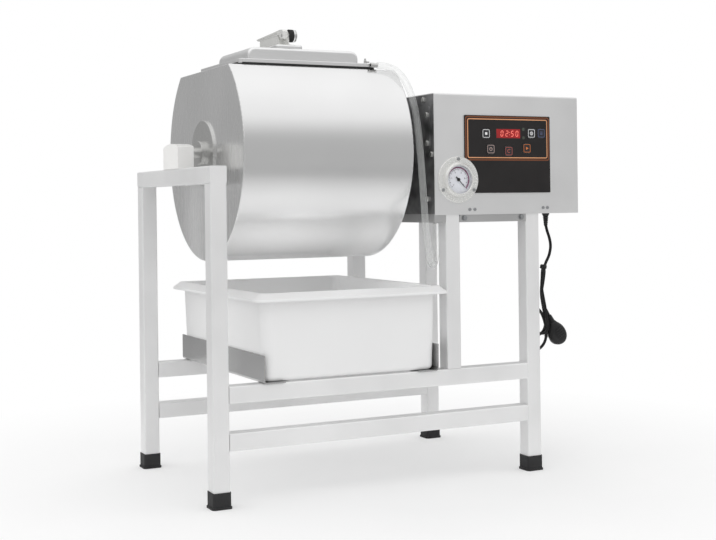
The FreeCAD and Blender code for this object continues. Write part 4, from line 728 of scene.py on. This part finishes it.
PLUG_NECK_START = [(-1.0, 3.2, 3.2), (-0.4, 4.0, 4.0)]
PLUG_NECK_RIBS = ((0.2, 4.8), (14.0, 6.4), 0.82, 5)
PLUG_NECK_END = [(14.2, 6.4, 6.3)]
PLUG_SHAPE = [
    (13.6, 6.0, 5.8), (14.2, 7.2, 6.8), (17.5, 8.8, 7.8), (21.5, 11.6, 9.2), (26.0, 14.6, 10.4),
    (31.0, 17.0, 11.2), (37.0, 18.6, 11.8), (43.0, 19.1, 12.0), (49.0, 18.4, 11.9),
    (54.0, 16.2, 11.4), (58.0, 12.8, 10.4), (60.6, 8.8, 8.8), (61.8, 5.0, 6.6),
]
GRIP_HALVES = (6.5, 8.0, 8.0, 6.5)
GRIP_START, GRIP_PITCH, GRIP_FACE = 30, 5.2, 11.6
# Half width and half depth of a ridge at its ends and between, and the length of its ends
RIDGE_TIP, RIDGE_BODY, RIDGE_TAPER = (0.5, 0.4), (1.0, 1.0), 1.2
PIN_DISTANCE, PIN_SIDE, PIN_ROOT = 43, 9.5, 10
PIN_SHAPE = [(0, 2.4, 2.4), (19.8, 2.4, 2.4), (20.7, 2.0, 2.0), (21.0, 1.3, 1.3)]


def make_plug():
    """The moulded plug with grip ridges on both faces, and its two pins."""
    forward = Vector((math.sin(PLUG_TURN), 0, -math.cos(PLUG_TURN)))
    side = Vector((math.cos(PLUG_TURN), 0, math.sin(PLUG_TURN)))
    tip = Vector(PLUG_TIP)
    bm = bmesh.new()
    loft(bm, tip, forward, PLUG_NECK_START + ribbed(*PLUG_NECK_RIBS) + PLUG_NECK_END)
    loft(bm, tip, forward, PLUG_SHAPE, 2.6, 40)
    for i, half in enumerate(GRIP_HALVES):
        ridge = [(0, *RIDGE_TIP), (RIDGE_TAPER, *RIDGE_BODY),
                 (2 * half - RIDGE_TAPER, *RIDGE_BODY), (2 * half, *RIDGE_TIP)]
        middle = tip + forward * (GRIP_START + GRIP_PITCH * i)
        for face in (-GRIP_FACE, GRIP_FACE):
            loft(bm, middle + Vector((0, face, 0)) - side * half, side, ridge, 2.0, 12)
    body = piece("plug_body", bm, "plug", "frame", True)
    bm = bmesh.new()
    for shift in (-PIN_SIDE, PIN_SIDE):
        root = tip + forward * PIN_DISTANCE + side * shift + Vector((0, PIN_ROOT, 0))
        loft(bm, root, (0, 1, 0), PIN_SHAPE, 2.0, 10)
    pins = piece("plug_pins", bm, "turned", "frame", True)
    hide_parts("mains_plug")
    return body, pins


TIE_TOP, TIE_WAY = (706.0, 46.5, 388.0), (-0.30, -0.1, -1)
TIE_SHAPE = [(0, 5.2, 6.4), (0.6, 6.0, 7.2), (6.2, 6.2, 7.4), (6.9, 5.4, 6.6)]
# Start of each twisted end, the way it points and its length
TIE_ENDS = (
    ((702.0, 42.0, 386.5), (-0.92, -0.2, 0.30), 7.0),
    ((702.0, 42.0, 383.5), (-0.92, -0.2, -0.10), 5.0),
    ((702.0, 42.0, 380.5), (-0.92, -0.2, -0.75), 6.5),
)
# Sections of an end, at parts of its length
TIE_END_SHAPE = ((0, 2.2, 1.4), (0.5, 2.5, 1.6), (1, 1.8, 1.1))


def make_tie():
    """Twisted tie round the lead where the bundle starts, with its ends."""
    bm = bmesh.new()
    loft(bm, TIE_TOP, TIE_WAY, TIE_SHAPE, 2.0, 28)
    for start, way, long in TIE_ENDS:
        shape = [(long * part, half, depth) for part, half, depth in TIE_END_SHAPE]
        loft(bm, start, way, shape, 2.0, 14)
    return piece("lead_tie", bm, "rubber", "frame", True)


lead = smooth_curve("mains_cord", LEAD_ROUTE, LEAD_RADIUS, "cord")
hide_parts("mains_lead", "lead_hank", "lead_tail")
relief = make_strain_relief()
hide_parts("cord_sleeve")
plug, pins = make_plug()
tie = make_tie()


# Lid, clamp and tray details

LIP_OUTER, LIP_INNER = (85.2, 79.2, 358.8, 287.6, 12), (90, 84, 354, 283, 8)
LIP_LOW, LIP_TOP = 762.2, 766.4
TYRE_START = (202.9, 133.0, 824.0)
TYRE_SHAPE = [
    (0, 6.0, 6.0), (0.1, 10.6, 10.6), (0.9, 11.8, 11.8), (8.6, 11.8, 11.8), (9.2, 11.5, 11.5),
]
BOLT_PLACES_X, BOLT_Y, BOLT_Z = (498.0, 624.0), -0.4, 484.0
BOLT_SHAPE = [(0, 5.6, 5.6), (0.8, 5.6, 5.6), (0.9, 4.2, 4.2), (3.0, 4.2, 4.2), (3.4, 3.4, 3.4)]


def make_seal_lip():
    """Soft edge of the gasket round the lid, a closed band between two heights."""
    bm = bmesh.new()
    outlines = (rounded(*LIP_OUTER), rounded(*LIP_INNER))
    closed_band(bm, [[bm.verts.new(at(x, y, level)) for x, y in line]
                     for line in outlines for level in (LIP_LOW, LIP_TOP)])
    piece("lid_seal_lip", bm, "gasket", "lid")


def make_roller_tyre():
    bm = bmesh.new()
    loft(bm, TYRE_START, (1, 0, 0), TYRE_SHAPE)
    piece("roller_tyre", bm, "gasket", "clamp", True)


def make_tray_bolts():
    bm = bmesh.new()
    for x in BOLT_PLACES_X:
        loft(bm, (x, BOLT_Y, BOLT_Z), (0, -1, 0), BOLT_SHAPE, 2.0, 6)
    piece("tray_bolts", bm, "cast", "frame")


make_seal_lip()
make_roller_tyre()
make_tray_bolts()


# World, floor and lamps

# Brightness of the room as polished steel mirrors it, in front of the machine and behind
# it, by height: 0 straight down, 0.5 level, 1 straight up
ROOM_FRONT = [(0.0, 0.9), (0.2, 0.9), (0.40, 0.46), (0.60, 0.46), (0.80, 0.90), (1.0, 1.0)]
ROOM_BACK = [(0.0, 0.8), (0.2, 0.8), (0.40, 0.34), (0.64, 0.38), (0.84, 0.76), (1.0, 0.97)]
# How far to each side of straight across the front turns into the back
ROOM_TURN = 0.3
DIFFUSE_LIGHT, MIRRORED_LIGHT = 0.87, 1.05


def make_world():
    """White for the camera and glass; for metal a pale room with a darker band at eye level."""
    world = bpy.data.worlds.new("studio")
    bpy.context.scene.world = world
    world.use_nodes = True
    tree = world.node_tree
    tree.nodes.clear()

    def node(kind, **values):
        made = tree.nodes.new(kind)
        for key, value in values.items():
            setattr(made, key, value)
        return made

    def background(strength, colour=None):
        made = node("ShaderNodeBackground")
        made.inputs["Strength"].default_value = strength
        if colour:
            tree.links.new(colour, made.inputs["Color"])
        else:
            made.inputs["Color"].default_value = (1, 1, 1, 1)
        return made.outputs[0]

    place = node("ShaderNodeTexCoord")
    split = node("ShaderNodeSeparateXYZ")
    tree.links.new(place.outputs["Generated"], split.inputs[0])
    height = node("ShaderNodeMapRange")
    height.inputs["From Min"].default_value = -1
    tree.links.new(split.outputs["Z"], height.inputs["Value"])

    def ramp(levels):
        made = node("ShaderNodeValToRGB")
        made.color_ramp.interpolation = "EASE"
        stops = made.color_ramp.elements
        stops[0].position, stops[1].position = levels[0][0], levels[-1][0]
        for position, value in levels[1:-1]:
            stops.new(position)
        for stop, (position, value) in zip(stops, levels):
            stop.position = position
            stop.color = (value, value, value, 1)
        tree.links.new(height.outputs["Result"], made.inputs["Fac"])
        return made.outputs["Color"]

    front, back = ramp(ROOM_FRONT), ramp(ROOM_BACK)
    side = node("ShaderNodeMapRange")
    side.inputs["From Min"].default_value = -ROOM_TURN
    side.inputs["From Max"].default_value = ROOM_TURN
    tree.links.new(split.outputs["Y"], side.inputs["Value"])
    both = node("ShaderNodeMixRGB")
    tree.links.new(side.outputs["Result"], both.inputs[0])
    tree.links.new(front, both.inputs[1])
    tree.links.new(back, both.inputs[2])
    rays = node("ShaderNodeLightPath")
    glossy = node("ShaderNodeMixShader")
    tree.links.new(rays.outputs["Is Glossy Ray"], glossy.inputs[0])
    tree.links.new(background(DIFFUSE_LIGHT), glossy.inputs[1])
    tree.links.new(background(MIRRORED_LIGHT, both.outputs[0]), glossy.inputs[2])
    seen = node("ShaderNodeMath", operation="MAXIMUM")
    tree.links.new(rays.outputs["Is Camera Ray"], seen.inputs[0])
    tree.links.new(rays.outputs["Is Transmission Ray"], seen.inputs[1])
    final = node("ShaderNodeMixShader")
    tree.links.new(seen.outputs[0], final.inputs[0])
    tree.links.new(glossy.outputs[0], final.inputs[1])
    tree.links.new(background(1.0), final.inputs[2])
    tree.links.new(final.outputs[0], node("ShaderNodeOutputWorld").inputs[0])


# The floor's radius and drop, the distances from the middle over which it turns white for
# the camera, and those over which it dims where steel mirrors it, in metres
FLOOR_RADIUS, FLOOR_DROP = 2.6, 0.0002
WHITE_FROM, WHITE_TO, WHITE_LEAST = 0.40, 1.1, 0.35
DIM_FROM, DIM_TO, DIM_LEVEL = 0.60, 1.50, 0.45


def make_floor():
    """Pale floor: shadow near the object, plain white further out."""
    look = Look("floor")
    look.set(Roughness=0.9, Specular_IOR_Level=0.0)
    look.feed("Base Color", look.colours(look.noise(3, 2), grey(0.90), grey(0.93)))
    place = look.node("ShaderNodeTexCoord")
    length = look.node("ShaderNodeVectorMath", operation="LENGTH")
    look.join(place.outputs["Object"], length.inputs[0])
    far = look.spread(length.outputs["Value"], WHITE_LEAST, 1.0, WHITE_FROM, WHITE_TO)
    rays = look.node("ShaderNodeLightPath")
    seen = look.multiply(far, rays.outputs["Is Camera Ray"])
    glow = look.node("ShaderNodeEmission")
    mix = look.node("ShaderNodeMixShader")
    look.join(seen, mix.inputs[0])
    look.join(look.shader.outputs[0], mix.inputs[1])
    look.join(glow.outputs[0], mix.inputs[2])
    dim = look.node("ShaderNodeEmission")
    dim.inputs["Strength"].default_value = DIM_LEVEL
    fade = look.spread(length.outputs["Value"], 0.0, 1.0, DIM_FROM, DIM_TO)
    mirrored = look.multiply(fade, rays.outputs["Is Glossy Ray"])
    whole = look.node("ShaderNodeMixShader")
    look.join(mirrored, whole.inputs[0])
    look.join(mix.outputs[0], whole.inputs[1])
    look.join(dim.outputs[0], whole.inputs[2])
    look.join(whole.outputs[0], look.tree.nodes["Material Output"].inputs["Surface"])
    bm = bmesh.new()
    bmesh.ops.create_circle(bm, cap_ends=True, segments=96, radius=FLOOR_RADIUS)
    mesh = bpy.data.meshes.new("floor")
    bm.to_mesh(mesh)
    bm.free()
    mesh.materials.append(look.material)
    floor = bpy.data.objects.new("floor", mesh)
    floor.location.z = -FLOOR_DROP
    bpy.context.collection.objects.link(floor)


# Name, place, size in metres, power in watts and the place that the lamp points at
MACHINE_MIDDLE = (0, 0, 0.4)
LAMPS = [
    ("key_lamp", (-1.9, -2.2, 3.0), 2.0, 10, MACHINE_MIDDLE),
    ("fill_lamp", (2.4, -1.4, 2.2), 2.0, 5, MACHINE_MIDDLE),
    ("top_lamp", (0.1, 0.6, 3.2), 2.4, 6, MACHINE_MIDDLE),
    ("low_lamp", (-0.5, -2.2, 0.9), 1.2, 0.9, MACHINE_MIDDLE),
    ("side_lamp", (-2.6, 0.3, 1.0), 1.6, 5, MACHINE_MIDDLE),
    ("bin_lamp", (-0.113, -0.105, 0.400), 0.18, 0.18, (-0.113, -0.105, 0.0)),
]


def make_lamp(name, spot, size, power, target):
    """A round lamp that no steel mirrors."""
    data = bpy.data.lights.new(name, "AREA")
    data.shape = "DISK"
    data.size = size
    data.energy = power
    lamp = bpy.data.objects.new(name, data)
    lamp.location = spot
    aim = Vector(target) - Vector(spot)
    lamp.rotation_mode = "QUATERNION"
    lamp.rotation_quaternion = aim.to_track_quat("-Z", "Y")
    lamp.visible_glossy = False
    bpy.context.collection.objects.link(lamp)


make_world()
make_floor()
for lamp in LAMPS:
    make_lamp(*lamp)

scene = bpy.context.scene
scene.view_settings.view_transform = "Standard"
